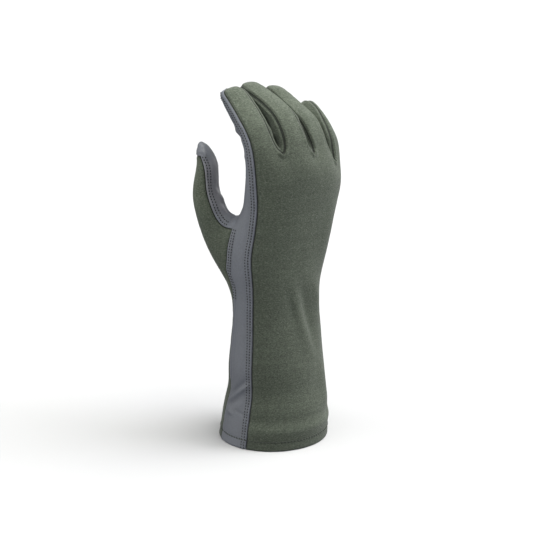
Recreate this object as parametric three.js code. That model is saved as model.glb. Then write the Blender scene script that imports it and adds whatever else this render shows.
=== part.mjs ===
// A flame-resistant flight glove for a right hand, standing on its hem as if a hand were in it.
// It is cut and sewn from seven pieces: a knit back, a leather palm with the finger fronts and a strip down
// the thumb side, a leather thumb front, a knit thumb back that runs down to the hem, and three knit
// fourchettes between the fingers. Each piece is a thin shell, and together they enclose the hollow of the hand.
//
// Millimetres. +Z is up from the hem, -Y is the back of the hand, +Y the palm and -X the thumb side.
// Shares are of the named size that a table's column follows, and angles are in degrees.
import * as THREE from "three";

// Driving sizes.
const GAUNTLET_LENGTH = 115; // hem to wrist
const HAND_LENGTH = 131; // wrist to the crotch between index and middle finger
const FINGER_LENGTH = 80; // middle finger, from its crotch to its tip
const THUMB_LENGTH = 110; // bottom of the thumb's seat to its tip, measured upright
const THUMB_REACH = 67.5; // from the gauntlet's axis out to the thumb's knuckle
const THUMB_WIDTH = 25; // across the thumb, seen from its back
const CUFF_WIDTH = 95;
const CUFF_DEPTH = 91.6;
const WRIST_WIDTH = 79;
const WRIST_DEPTH = 57;
const FINGER_PITCH = 24; // one finger's share of the hand's width
const FINGER_DEPTH = 21.5; // a finger from back to front, near its crotch
const FINGER_GAP = 1.4; // between two fingers at their crotch
const HAND_DEPTH = 32; // the hand from back to palm, at the knuckles
const KNIT_WALL = 1.2;
const LEATHER_WALL = 1.2;
const LEATHER_RISE = 0.5; // how far the lapped leather stands over the knit
const HEM_HEIGHT = 8;
const HEM_TURN = 1.0; // the turned-up layer inside the hem
const SEAM_GAP = 0.3; // clear gap between two sewn pieces
const CREASE_ROOM = 8.2; // how much wider the gap gets where a seam lies in a sharp crease
const CORNER_LIMIT = 4.5; // how far a piece's sharp corner may draw back, in half gaps

// How many quads each run of the shell has.
const PER_FINGER = 4; // across a finger's back, and across its front
const SIDE = 4; // down a finger's side, and down each side of the hand
const FINGER_ROWS = 10;
const GAUNTLET_ROWS = 13;
const HAND_ROWS = 14;
const RELAX_PASSES = 6;

const CUFF = { width: CUFF_WIDTH, depth: CUFF_DEPTH };
const WRIST = { width: WRIST_WIDTH, depth: WRIST_DEPTH };
const HAND = { width: 4 * FINGER_PITCH, depth: HAND_DEPTH };

// Sections of gauntlet and hand. at is 0 at the hem, 1 at the wrist and 2 at the finger crotches. width and
// depth are shares of the size named in size; ulnar and palm move the section by a share of its width.
// arch is how far the section curls about the palm and square its corners (2 is an ellipse). to_strip, to_side and
// strip are shares of its girth: from the middle of the back to the leather strip, from there to the little
// finger's side, and across the strip. thenar is how far the ball of the thumb bulges, as a share of THUMB_REACH.
const BODY = [
  { at: 0.0, size: CUFF, width: 1.0, depth: 1.0, ulnar: 0.0, palm: 0.0, arch: 0, square: 2.0, to_strip: 0.187, to_side: 0.187, strip: 0.118, thenar: 0 },
  { at: 0.25, size: CUFF, width: 0.958, depth: 0.94, ulnar: 0.03, palm: 0.0, arch: 0, square: 2.0, to_strip: 0.187, to_side: 0.187, strip: 0.116, thenar: 0 },
  { at: 0.39, size: CUFF, width: 0.905, depth: 0.83, ulnar: 0.045, palm: 0.0, arch: 0, square: 2.05, to_strip: 0.185, to_side: 0.185, strip: 0.118, thenar: 0 },
  { at: 0.54, size: CUFF, width: 0.9, depth: 0.8, ulnar: 0.035, palm: 0.0, arch: 0, square: 2.05, to_strip: 0.184, to_side: 0.184, strip: 0.12, thenar: 0 },
  { at: 0.68, size: WRIST, width: 1.05, depth: 1.18, ulnar: 0.035, palm: 0.0, arch: 0, square: 2.1, to_strip: 0.183, to_side: 0.183, strip: 0.122, thenar: 0 },
  { at: 0.82, size: WRIST, width: 1.025, depth: 1.09, ulnar: 0.038, palm: 0.0, arch: 0, square: 2.1, to_strip: 0.183, to_side: 0.183, strip: 0.124, thenar: 0 },
  { at: 0.96, size: WRIST, width: 1.0, depth: 1.0, ulnar: 0.035, palm: 0.0, arch: 0, square: 2.1, to_strip: 0.183, to_side: 0.183, strip: 0.125, thenar: 0 },
  { at: 1.08, size: WRIST, width: 0.99, depth: 0.97, ulnar: 0.03, palm: -0.01, arch: 0, square: 2.1, to_strip: 0.184, to_side: 0.184, strip: 0.102, thenar: 0.06 },
  { at: 1.22, size: WRIST, width: 1.03, depth: 0.92, ulnar: 0.05, palm: -0.03, arch: 4, square: 2.1, to_strip: 0.186, to_side: 0.187, strip: 0.076, thenar: 0.2 },
  { at: 1.35, size: HAND, width: 0.91, depth: 1.5, ulnar: 0.07, palm: -0.05, arch: 9, square: 2.15, to_strip: 0.188, to_side: 0.196, strip: 0.09, thenar: 0.25 },
  { at: 1.53, size: HAND, width: 0.94, depth: 1.3, ulnar: 0.1, palm: -0.1, arch: 17, square: 2.25, to_strip: 0.183, to_side: 0.215, strip: 0.095, thenar: 0.08 },
  { at: 1.73, size: HAND, width: 0.985, depth: 1.12, ulnar: 0.133, palm: -0.145, arch: 26, square: 2.4, to_strip: 0.185, to_side: 0.245, strip: 0.08, thenar: 0 },
  { at: 2.0, size: HAND, width: 1.1, depth: 1.0, ulnar: 0.16, palm: -0.185, arch: 33, square: 2.5, to_strip: 0.214, to_side: 0.262, strip: 0.06, thenar: 0 },
];

// Which way the ball of the thumb and the thumb itself point, from -X towards the palm, and the bulge's half-width.
const THUMB_TURN = 45;
const THENAR_SPREAD = 34;

// Crotch heights round the hand, as shares of HAND_LENGTH: beside the index finger, between each two fingers, and
// beside the little finger.
const CROTCHES = [0.975, 1.0, 0.985, 0.88, 0.83];
const PALM_DROP = 0.055; // how much lower they are on the palm, as the fingers bend that way

// The fingers. length is a share of FINGER_LENGTH and width of FINGER_PITCH; base, middle and end are how far each
// joint bends towards the palm, lean turns the bend and roll turns the back of the finger, both towards the little
// finger, and splay tips the finger that way.
const FINGERS = [
  { name: "index", length: 0.9, width: 1.05, base: 20, middle: 28, end: 3, lean: -4, roll: -16, splay: -1 },
  { name: "middle", length: 1.13, width: 1.02, base: 12, middle: 51, end: 8, lean: -3, roll: -4, splay: -2 },
  { name: "ring", length: 1.13, width: 1.0, base: 12, middle: 50, end: 2, lean: 0, roll: 1, splay: -1 },
  { name: "little", length: 0.87, width: 1.0, base: 4, middle: 36, end: 18, lean: -3, roll: 30, splay: 2 },
];

// Along a finger: along is a share of its length, width and depth are shares of its own, and side is half the angle
// that its side pieces cover.
const FINGER_SECTIONS = [
  { along: 0.0, width: 1.1, depth: 1.04, side: 40 },
  { along: 0.2, width: 1.08, depth: 1.0, side: 40 },
  { along: 0.45, width: 1.02, depth: 0.96, side: 40 },
  { along: 0.62, width: 0.98, depth: 0.9, side: 40 },
  { along: 0.8, width: 0.94, depth: 0.84, side: 38 },
  { along: 1.0, width: 0.88, depth: 0.78, side: 34 },
];
const JOINTS = [0.28, 0.62]; // where a finger bends, as shares of its length
const JOINT_BLEND = 0.16; // over which share of the length a joint bends
const TIP_ROUND = 0.16; // the share of the length that the rounded tip takes
const FINGER_SQUARE = 2.5;

// The thumb, seen square on to its side: its back and its pad, each out from the gauntlet's axis as a share of
// THUMB_REACH and up from the bottom of its seat as a share of THUMB_LENGTH. wide is a share of THUMB_WIDTH, and
// seam is how far round from its back the knit meets the leather.
const THUMB = [
  { back_out: 0.8, back_up: 0.13, pad_out: 0.47, pad_up: 0.385, wide: 1.35, seam: 112 },
  { back_out: 0.88, back_up: 0.23, pad_out: 0.545, pad_up: 0.425, wide: 1.22, seam: 113 },
  { back_out: 0.945, back_up: 0.34, pad_out: 0.6, pad_up: 0.49, wide: 1.1, seam: 110 },
  { back_out: 0.985, back_up: 0.47, pad_out: 0.65, pad_up: 0.56, wide: 1.03, seam: 108 },
  { back_out: 1.015, back_up: 0.585, pad_out: 0.69, pad_up: 0.65, wide: 1.0, seam: 104 },
  { back_out: 0.995, back_up: 0.705, pad_out: 0.69, pad_up: 0.74, wide: 1.02, seam: 98 },
  { back_out: 0.95, back_up: 0.815, pad_out: 0.69, pad_up: 0.825, wide: 1.02, seam: 86 },
  { back_out: 0.95, back_up: 0.9, pad_out: 0.74, pad_up: 0.9, wide: 0.92, seam: 66 },
  { back_out: 0.935, back_up: 0.965, pad_out: 0.82, pad_up: 0.96, wide: 0.6, seam: 64 },
];
const THUMB_TIP = { out: 0.9, up: 1.0 };
const THUMB_ASIDE = 0.03; // how far the thumb stands towards the palm's far side, as a share of THUMB_REACH
// The thumb's seat in the hand: how many columns wide and rows high, and the row that it starts on.
const SEAT_COLUMNS = 5;
const SEAT_ROWS = 5;
const SEAT_START = 16;
const SEAT_LIFT = 15; // how much higher the gusset's corner beside the strip stands than its row

// Column numbers round the body. They start where the back meets the leather strip and run over the back to the
// little finger's side, across the palm and back over the strip.
const BACK = 4 * PER_FINGER;
const ULNAR_END = BACK + SIDE;
const PALM_END = ULNAR_END + BACK;
const COLUMNS = PALM_END + SIDE;
const ULNAR_SEAM = BACK + SIDE / 2;
const SEAT_LEFT = PALM_END - SEAT_COLUMNS;
const ROWS = GAUNTLET_ROWS + HAND_ROWS;

const { sin, cos, abs, PI } = Math;
const radians = (degrees) => (degrees * PI) / 180;
const mix = (a, b, t) => a + (b - a) * t;
const clamp01 = (t) => Math.min(1, Math.max(0, t));
const smooth = (t) => clamp01(t) ** 2 * (3 - 2 * clamp01(t));

// A smooth curve through one column of a table, by Hermite spans.
function along(table, key, x, column) {
  const last = table.length - 1;
  const at = (i) => table[Math.min(last, Math.max(0, i))];
  let i = 0;
  while (i < last - 1 && x > table[i + 1][key]) {
    i += 1;
  }
  const value = typeof column === "function" ? column : (row) => row[column];
  const [p, q, r, s] = [at(i - 1), at(i), at(i + 1), at(i + 2)];
  const span = r[key] - q[key];
  const t = clamp01((x - q[key]) / span);
  const slopeQ = ((value(r) - value(p)) / (r[key] - p[key] || span)) * span;
  const slopeR = ((value(s) - value(q)) / (s[key] - q[key] || span)) * span;
  const t2 = t * t;
  const t3 = t2 * t;
  return (
    (2 * t3 - 3 * t2 + 1) * value(q) +
    (t3 - 2 * t2 + t) * slopeQ +
    (3 * t2 - 2 * t3) * value(r) +
    (t3 - t2) * slopeR
  );
}

// A point of a rounded box of half-sizes a and b, at an angle from the back (-y) towards +x.
function roundedBox(a, b, square, angle) {
  const bow = (c) => Math.sign(c) * abs(c) ** (2 / square);
  return [a * bow(sin(angle)), -b * bow(cos(angle))];
}

// The body's section at a height: a function from a share of its girth, from mid-back towards the little finger,
// to x and y.
function bodySection(at) {
  const value = (column) => along(BODY, "at", at, column);
  const width = value((row) => row.width * row.size.width);
  const a = width / 2;
  const b = value((row) => row.depth * row.size.depth) / 2;
  const steps = 180;
  const points = [];
  const lengths = [0];
  for (let i = 0; i <= steps; i += 1) {
    points.push(roundedBox(a, b, value("square"), (2 * PI * i) / steps));
    if (i) {
      const step = Math.hypot(points[i][0] - points[i - 1][0], points[i][1] - points[i - 1][1]);
      lengths.push(lengths[i - 1] + step);
    }
  }
  const centre = [value("ulnar") * width, value("palm") * width];
  const arch = radians(value("arch"));
  const thenar = value("thenar") * THUMB_REACH;
  const point = (share) => {
    const target = (share - Math.floor(share)) * lengths[steps];
    let i = 1;
    while (lengths[i] < target) {
      i += 1;
    }
    const t = (target - lengths[i - 1]) / (lengths[i] - lengths[i - 1]);
    let x = mix(points[i - 1][0], points[i][0], t);
    let y = mix(points[i - 1][1], points[i][1], t);
    if (arch > 0.001) {
      const radius = a / arch;
      [x, y] = [(radius - y) * sin(x / radius), radius - (radius - y) * cos(x / radius)];
    }
    // The ball of the thumb swells the section towards the thumb.
    const turn = radians(THUMB_TURN);
    let off = Math.atan2(y, -x) - turn;
    off = Math.atan2(sin(off), cos(off)) / radians(THENAR_SPREAD);
    const bulge = thenar * Math.exp(-off * off);
    return [centre[0] + x - bulge * cos(turn), centre[1] + y + bulge * sin(turn)];
  };
  return { point, seams: [value("to_strip"), value("to_side"), value("strip")] };
}

// The share of the girth at a column, for a section's seam places.
function columnShare(column, [toStrip, toSide, strip]) {
  if (column <= BACK) {
    return mix(-toStrip, toSide, column / BACK);
  }
  if (column <= ULNAR_END) {
    return toSide + (strip * (column - BACK)) / SIDE;
  }
  if (column <= PALM_END) {
    return mix(toSide + strip, 1 - toStrip - strip, (column - ULNAR_END) / BACK);
  }
  return mix(1 - toStrip - strip, 1 - toStrip, (column - PALM_END) / SIDE);
}

// The crotch height at a column, as a share of HAND_LENGTH.
function crotch(column) {
  let across = column / PER_FINGER;
  let drop = 0;
  if (column > PALM_END) {
    across = 0;
    drop = (COLUMNS - column) / SIDE;
  } else if (column > BACK) {
    across = Math.min(CROTCHES.length - 1, (PALM_END - column) / PER_FINGER);
    drop = Math.min(1, (column - BACK) / SIDE);
  }
  const stations = CROTCHES.map((height, i) => ({ i, height }));
  return along(stations, "i", across, "height") - PALM_DROP * smooth(drop);
}

function seatLift(row, column) {
  const up = (row - SEAT_START - SEAT_ROWS + 1) / 1.6;
  const across = (column - PALM_END) / 2.2;
  return SEAT_LIFT * Math.exp(-up * up - across * across);
}

const vertices = []; // THREE.Vector3 each
const loose = []; // how far relaxing may move each vertex, 0 to 1
const quads = []; // { corners: [4 vertex numbers], piece }

function addVertex(x, y, z, slack = 0) {
  vertices.push(new THREE.Vector3(x, y, z));
  loose.push(slack);
  return vertices.length - 1;
}

function addQuad(piece, ...corners) {
  quads.push({ corners, piece });
}

// The body's rows, from the hem up. The first two hold the hem between them.
function rowPlace(row) {
  if (row <= 1) {
    return (row * HEM_HEIGHT) / GAUNTLET_LENGTH;
  }
  if (row <= GAUNTLET_ROWS) {
    return mix(HEM_HEIGHT / GAUNTLET_LENGTH, 1, (row - 1) / (GAUNTLET_ROWS - 1));
  }
  return 1 + (row - GAUNTLET_ROWS) / HAND_ROWS;
}

function bodyGrid() {
  const grid = [];
  for (let row = 0; row <= ROWS; row += 1) {
    const at = rowPlace(row);
    const section = bodySection(at);
    grid.push([]);
    for (let column = 0; column < COLUMNS; column += 1) {
      const [x, y] = section.point(columnShare(column, section.seams));
      const up = Math.max(0, at - 1);
      const z = Math.min(1, at) * GAUNTLET_LENGTH + up * HAND_LENGTH * mix(1, crotch(column), up);
      grid[row].push(addVertex(x, y, z + seatLift(row, column), smooth((at - 1.75) / 0.25) * 0.6));
    }
  }
  return grid;
}

// Which piece covers a quad of the body, or null inside the thumb's seat.
function bodyPiece(row, column) {
  if (column < ULNAR_SEAM) {
    return "back_panel";
  }
  if (column >= SEAT_LEFT && column < PALM_END) {
    if (row < SEAT_START) {
      return "thumb_back";
    }
    if (row < SEAT_START + SEAT_ROWS) {
      return null;
    }
  }
  return "palm_panel";
}

// Three vertices down the web between two fingers, from the back's crotch to the palm's.
function webPath(backVertex, palmVertex) {
  const [from, to] = [vertices[backVertex], vertices[palmVertex]];
  const path = [];
  for (let i = 1; i < SIDE; i += 1) {
    const p = from.clone().lerp(to, i / SIDE);
    path.push(addVertex(p.x, p.y, p.z, 0.5));
  }
  return path;
}

// A finger's centre line and frame at a share of its length.
function fingerLine(finger, start) {
  const length = finger.length * FINGER_LENGTH;
  const steps = 60;
  const places = [start.clone()];
  const tangents = [];
  const lean = radians(finger.lean);
  const bendTo = new THREE.Vector3(-sin(lean), cos(lean), 0);
  const aside = new THREE.Vector3(cos(lean), sin(lean), 0);
  for (let i = 0; i <= steps; i += 1) {
    const t = i / steps;
    const bent = (joint) => smooth((t - JOINTS[joint]) / JOINT_BLEND + 0.5);
    const pitch = radians(finger.base + finger.middle * bent(0) + finger.end * bent(1));
    const tangent = new THREE.Vector3(0, 0, cos(pitch))
      .addScaledVector(bendTo, sin(pitch))
      .addScaledVector(aside, sin(radians(finger.splay)))
      .normalize();
    tangents.push(tangent);
    places.push(places[i].clone().addScaledVector(tangent, length / steps));
  }
  const roll = radians(finger.roll);
  const up = new THREE.Vector3(sin(roll), -cos(roll), 0);
  return (t) => {
    const i = Math.min(steps - 1, Math.floor(t * steps));
    const place = places[i].clone().lerp(places[i + 1], t * steps - i);
    const tangent = tangents[Math.min(steps, Math.round(t * steps))];
    const back = up.clone().addScaledVector(tangent, -up.dot(tangent)).normalize();
    const across = new THREE.Vector3().crossVectors(tangent, back);
    return { place, back, across };
  };
}

// The angle of each vertex round a finger, from mid-back towards the little finger's side.
function fingerAngles(side) {
  const edge = 90 - side;
  const far = 90 + side;
  const angles = [];
  const run = (from, to, count) => {
    for (let i = 0; i < count; i += 1) {
      angles.push(mix(from, to, i / count));
    }
  };
  run(-edge, edge, PER_FINGER);
  run(edge, far, SIDE);
  run(far, 360 - far, PER_FINGER);
  run(360 - far, 360 - edge, SIDE);
  return angles.map(radians);
}

// Quads between two rings of equal length, the second further out.
function band(lower, upper, pieceOf) {
  lower.forEach((_, i) => {
    const next = (i + 1) % lower.length;
    addQuad(pieceOf(i), lower[i], lower[next], upper[next], upper[i]);
  });
}

// Closes a ring whose sides are across, down, across and down quads long, with a domed grid.
function cap(ring, across, down, tip, pieceOf) {
  const corner = (i) => vertices[ring[i % ring.length]];
  const top = (i) => ring[i];
  const right = (j) => ring[across + j];
  const bottom = (i) => ring[2 * across + down - i];
  const left = (j) => ring[(2 * across + 2 * down - j) % ring.length];
  const corners = [corner(0), corner(across), corner(across + down), corner(2 * across + down)];
  const flat = new THREE.Vector3();
  corners.forEach((p) => flat.addScaledVector(p, 0.25));
  const dome = tip.clone().sub(flat);
  const grid = [];
  for (let j = 0; j <= down; j += 1) {
    grid.push([]);
    for (let i = 0; i <= across; i += 1) {
      if (j === 0) {
        grid[j].push(top(i));
      } else if (j === down) {
        grid[j].push(bottom(i));
      } else if (i === 0) {
        grid[j].push(left(j));
      } else if (i === across) {
        grid[j].push(right(j));
      } else {
        const [u, v] = [i / across, j / down];
        const p = vertices[left(j)].clone().lerp(vertices[right(j)], u);
        p.add(vertices[top(i)].clone().lerp(vertices[bottom(i)], v));
        p.addScaledVector(corners[0], -(1 - u) * (1 - v));
        p.addScaledVector(corners[1], -u * (1 - v));
        p.addScaledVector(corners[2], -u * v);
        p.addScaledVector(corners[3], -(1 - u) * v);
        p.addScaledVector(dome, 16 * u * (1 - u) * v * (1 - v));
        grid[j].push(addVertex(p.x, p.y, p.z, 0.3));
      }
    }
  }
  for (let j = 0; j < down; j += 1) {
    for (let i = 0; i < across; i += 1) {
      addQuad(pieceOf(i, j), grid[j][i], grid[j][i + 1], grid[j + 1][i + 1], grid[j + 1][i]);
    }
  }
}

// How far a section shrinks in the rounded tip.
function tipShrink(t) {
  const into = Math.max(0, (t - (1 - TIP_ROUND)) / TIP_ROUND);
  return (1 - into ** 2.2) ** (1 / 2.2);
}

// Where the rings of a finger stand along it, closer together in the tip.
function fingerPlace(row) {
  const straight = FINGER_ROWS - 3;
  if (row <= straight) {
    return ((1 - TIP_ROUND) * row) / straight;
  }
  return 1 - TIP_ROUND + TIP_ROUND * [0.42, 0.74, 0.93][row - straight - 1];
}

function buildFinger(index, root, sidePieces) {
  const finger = FINGERS[index];
  const start = new THREE.Vector3();
  root.forEach((v) => start.addScaledVector(vertices[v], 1 / root.length));
  const line = fingerLine(finger, start);
  const width = finger.width * FINGER_PITCH - FINGER_GAP;
  const depth = FINGER_DEPTH * mix(1, finger.width, 0.5);
  const pieceOf = (i) => {
    if (i < PER_FINGER) {
      return "back_panel";
    }
    if (i < PER_FINGER + SIDE) {
      return sidePieces[0](i - PER_FINGER);
    }
    return i < 2 * PER_FINGER + SIDE ? "palm_panel" : sidePieces[1](i);
  };
  let ring = root;
  for (let row = 1; row <= FINGER_ROWS; row += 1) {
    const t = fingerPlace(row);
    const { place, back, across } = line(t);
    const value = (column) => along(FINGER_SECTIONS, "along", t, column);
    const shrink = tipShrink(t);
    const upper = fingerAngles(value("side")).map((angle) => {
      const [x, y] = roundedBox(
        (width * value("width") * shrink) / 2,
        (depth * value("depth") * shrink) / 2,
        FINGER_SQUARE,
        angle,
      );
      const p = place.clone().addScaledVector(across, x).addScaledVector(back, -y);
      return addVertex(p.x, p.y, p.z, row === 1 ? 0.5 : row === 2 ? 0.25 : 0);
    });
    band(ring, upper, pieceOf);
    ring = upper;
  }
  // On the tip the side pieces run on beside the back, down to where the front begins.
  const tipPieceOf = (i, j) => {
    if (j >= SIDE / 2) {
      return "palm_panel";
    }
    if (i === 0) {
      return sidePieces[1](0);
    }
    return i === PER_FINGER - 1 ? sidePieces[0](0) : "back_panel";
  };
  cap(ring, PER_FINGER, SIDE, line(1).place, tipPieceOf);
}

function buildFingers(grid) {
  const top = grid[ROWS];
  const palmColumn = (boundary) => PALM_END - boundary * PER_FINGER;
  const webs = [1, 2, 3].map((i) => webPath(top[i * PER_FINGER], top[palmColumn(i)]));
  const run = (from, to) => {
    const columns = [];
    for (let c = from; c <= to; c += 1) {
      columns.push(top[c % COLUMNS]);
    }
    return columns;
  };
  FINGERS.forEach((_, i) => {
    const back = run(i * PER_FINGER, (i + 1) * PER_FINGER);
    const palm = run(palmColumn(i + 1), palmColumn(i));
    const little = i === FINGERS.length - 1;
    const ulnarSide = little ? run(BACK + 1, ULNAR_END - 1) : webs[i];
    const radialSide = i ? [...webs[i - 1]].reverse() : run(PALM_END + 1, COLUMNS - 1);
    const fourchette = (k) => () => "fourchette_" + FINGERS[k].name + "_" + FINGERS[k + 1].name;
    const ulnarPiece = little ? (k) => (k < SIDE / 2 ? "back_panel" : "palm_panel") : fourchette(i);
    const radialPiece = i ? fourchette(i - 1) : () => "palm_panel";
    buildFinger(i, [...back, ...ulnarSide, ...palm, ...radialSide], [ulnarPiece, radialPiece]);
  });
}

// The thumb grows from its seat: the ring runs along the seat's bottom, up beside the strip, back along its top and
// down its palm side. The knit back takes the bottom and most of both sides, and the leather front the rest.
function buildThumb(grid) {
  const seatTop = SEAT_START + SEAT_ROWS;
  let ring = [];
  for (let i = 0; i < SEAT_COLUMNS; i += 1) {
    ring.push(grid[SEAT_START][SEAT_LEFT + i]);
  }
  for (let j = 0; j < SEAT_ROWS; j += 1) {
    ring.push(grid[SEAT_START + j][PALM_END]);
  }
  for (let i = 0; i < SEAT_COLUMNS; i += 1) {
    ring.push(grid[seatTop][PALM_END - i]);
  }
  for (let j = 0; j < SEAT_ROWS; j += 1) {
    ring.push(grid[seatTop - j][SEAT_LEFT]);
  }
  const count = ring.length;
  const seams = [SEAT_COLUMNS + SEAT_ROWS - 1, 2 * SEAT_COLUMNS + SEAT_ROWS + 1];
  const leatherRun = seams[1] - seams[0];
  const pieceOf = (i) => (i >= seams[0] && i < seams[1] ? "thumb_front" : "thumb_back");
  // Angles are from the middle of the thumb's back towards its palm side, and the ring runs the other way.
  const angleOf = (i, seam) => {
    if (i >= seams[0] && i <= seams[1]) {
      return radians(mix(-seam, seam - 360, (i - seams[0]) / leatherRun));
    }
    const past = i < seams[0] ? i + count - seams[1] : i - seams[1];
    return radians(mix(seam, -seam, past / (count - leatherRun)));
  };
  const turn = radians(THUMB_TURN);
  const out = new THREE.Vector3(-cos(turn), sin(turn), 0);
  const aside = new THREE.Vector3(sin(turn), cos(turn), 0);
  const seatHeight = vertices[grid[SEAT_START][PALM_END]].z;
  const spot = (reach, up) =>
    new THREE.Vector3(0, 0, seatHeight + up * THUMB_LENGTH)
      .addScaledVector(out, reach * THUMB_REACH)
      .addScaledVector(aside, THUMB_ASIDE * THUMB_REACH);
  THUMB.forEach((section, row) => {
    const back = spot(section.back_out, section.back_up);
    const pad = spot(section.pad_out, section.pad_up);
    const centre = back.clone().lerp(pad, 0.5);
    const towardBack = back.clone().sub(centre);
    const half = towardBack.length();
    towardBack.normalize();
    const upper = ring.map((_, i) => {
      const [x, y] = roundedBox((THUMB_WIDTH * section.wide) / 2, half, 2.2, angleOf(i, section.seam));
      const p = centre.clone().addScaledVector(aside, x).addScaledVector(towardBack, -y);
      return addVertex(p.x, p.y, p.z, row === 0 ? 0.6 : row === 1 ? 0.4 : row === 2 ? 0.2 : 0);
    });
    // Leather covers the whole tip.
    band(ring, upper, row === THUMB.length - 1 ? () => "thumb_front" : pieceOf);
    ring = upper;
  });
  cap(ring, SEAT_COLUMNS, SEAT_ROWS, spot(THUMB_TIP.out, THUMB_TIP.up), () => "thumb_front");
}

function buildShell() {
  const grid = bodyGrid();
  for (let row = 0; row < ROWS; row += 1) {
    for (let column = 0; column < COLUMNS; column += 1) {
      const piece = bodyPiece(row, column);
      const next = (column + 1) % COLUMNS;
      if (piece) {
        addQuad(piece, grid[row][column], grid[row][next], grid[row + 1][next], grid[row + 1][column]);
      }
    }
  }
  // The seat's rim, and the hand close to it, may ease into the thumb.
  for (let row = SEAT_START - 2; row <= SEAT_START + SEAT_ROWS + 2; row += 1) {
    for (let column = SEAT_LEFT - 3; column <= PALM_END + 3; column += 1) {
      const v = grid[row][column % COLUMNS];
      loose[v] = Math.max(loose[v], 0.55);
    }
  }
  buildFingers(grid);
  buildThumb(grid);
}

// Moves loose vertices towards the middle of their neighbours.
function relax(passes) {
  const neighbours = vertices.map(() => new Set());
  quads.forEach(({ corners }) => {
    corners.forEach((v, i) => {
      neighbours[v].add(corners[(i + 1) % 4]);
      neighbours[v].add(corners[(i + 3) % 4]);
    });
  });
  for (let pass = 0; pass < passes; pass += 1) {
    const moved = vertices.map((p, v) => {
      if (!loose[v] || !neighbours[v].size) {
        return p.clone();
      }
      const middle = new THREE.Vector3();
      neighbours[v].forEach((n) => middle.addScaledVector(vertices[n], 1 / neighbours[v].size));
      return p.clone().lerp(middle, loose[v]);
    });
    moved.forEach((p, v) => vertices[v].copy(p));
  }
}

function vertexNormals() {
  const normals = vertices.map(() => new THREE.Vector3());
  quads.forEach(({ corners }) => {
    const [a, b, c, d] = corners.map((v) => vertices[v]);
    const normal = new THREE.Vector3().crossVectors(c.clone().sub(a), d.clone().sub(b));
    corners.forEach((v) => normals[v].add(normal));
  });
  return normals.map((n, v) => {
    if (vertices[v].z < 0.5 * HEM_HEIGHT) {
      n.z = 0; // the hem's rim lies flat on the ground
    }
    return n.normalize();
  });
}

// One piece's shell: its outer face, its inner face and the cut edge between them, clear of its neighbours.
function pieceGeometry(piece, normals) {
  const own = quads.filter((q) => q.piece === piece);
  const leather = piece === "palm_panel" || piece === "thumb_front";
  const wall = leather ? LEATHER_WALL : KNIT_WALL;
  const edges = new Map();
  own.forEach(({ corners }) => {
    corners.forEach((v, i) => {
      const w = corners[(i + 1) % 4];
      if (!edges.delete(w + "," + v)) {
        edges.set(v + "," + w, [v, w]);
      }
    });
  });
  // Directions into the piece along its surface, at the vertices of its seams. The hem isn't a seam.
  const inward = new Map();
  edges.forEach(([v, w]) => {
    const [p, q] = [vertices[v], vertices[w]];
    if (Math.max(p.z, q.z) < 0.5 * HEM_HEIGHT) {
      return;
    }
    const direction = q.clone().sub(p).normalize();
    [v, w].forEach((end) => {
      const into = new THREE.Vector3().crossVectors(normals[end], direction);
      inward.set(end, (inward.get(end) ?? new THREE.Vector3()).add(into));
    });
  });
  // Where a seam runs along a crease, the piece stands further back from it.
  const facing = new Map();
  own.forEach(({ corners }) => {
    const [a, b, c, d] = corners.map((v) => vertices[v]);
    const normal = new THREE.Vector3().crossVectors(c.clone().sub(a), d.clone().sub(b));
    corners.forEach((v) => facing.set(v, (facing.get(v) ?? new THREE.Vector3()).add(normal)));
  });
  const setBack = (v) => {
    const crease = 1 - facing.get(v).clone().normalize().dot(normals[v]);
    const corner = Math.min(CORNER_LIMIT, 2 / inward.get(v).length());
    return (SEAM_GAP / 2) * corner * (1 + CREASE_ROOM * Math.max(0, crease));
  };
  const positions = [];
  const number = new Map();
  const place = (v, layer) => {
    const key = v + ":" + layer;
    if (!number.has(key)) {
      const p = vertices[v].clone();
      if (inward.has(v)) {
        const step = inward.get(v).clone().normalize();
        if (p.z < 0.5 * HEM_HEIGHT) {
          step.setZ(0);
        }
        p.addScaledVector(step, setBack(v));
      }
      const turned = HEM_TURN * smooth((1.25 * HEM_HEIGHT - p.z) / (0.25 * HEM_HEIGHT));
      const rise = leather ? LEATHER_RISE : 0;
      p.addScaledVector(normals[v], layer ? -(wall + turned) : rise);
      number.set(key, positions.length / 3);
      positions.push(p.x, p.y, p.z);
    }
    return number.get(key);
  };
  const triangles = [];
  const face = (a, b, c, d) => triangles.push(a, b, c, a, c, d);
  own.forEach(({ corners }) => {
    const [a, b, c, d] = corners;
    face(place(a, 0), place(b, 0), place(c, 0), place(d, 0));
    // The inner face is split along the same diagonal.
    const [e, f, g, h] = [place(a, 1), place(b, 1), place(c, 1), place(d, 1)];
    triangles.push(e, g, f, e, h, g);
  });
  edges.forEach(([v, w]) => face(place(w, 0), place(v, 0), place(v, 1), place(w, 1)));
  const geometry = new THREE.BufferGeometry();
  geometry.setAttribute("position", new THREE.Float32BufferAttribute(positions, 3));
  geometry.setIndex(triangles);
  geometry.computeVertexNormals();
  return geometry;
}

const KNIT = new THREE.MeshStandardMaterial({ color: 0x596353, roughness: 0.95, metalness: 0 });
const LEATHER = new THREE.MeshStandardMaterial({ color: 0x6b6e74, roughness: 0.6, metalness: 0 });
const PIECES = [
  ["back_panel", KNIT],
  ["palm_panel", LEATHER],
  ["thumb_front", LEATHER],
  ["thumb_back", KNIT],
  ["fourchette_index_middle", KNIT],
  ["fourchette_middle_ring", KNIT],
  ["fourchette_ring_little", KNIT],
];

buildShell();
relax(RELAX_PASSES);
const normals = vertexNormals();
const glove = new THREE.Group();
PIECES.forEach(([name, material]) => {
  const mesh = new THREE.Mesh(pieceGeometry(name, normals), material);
  mesh.name = name;
  glove.add(mesh);
});

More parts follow.
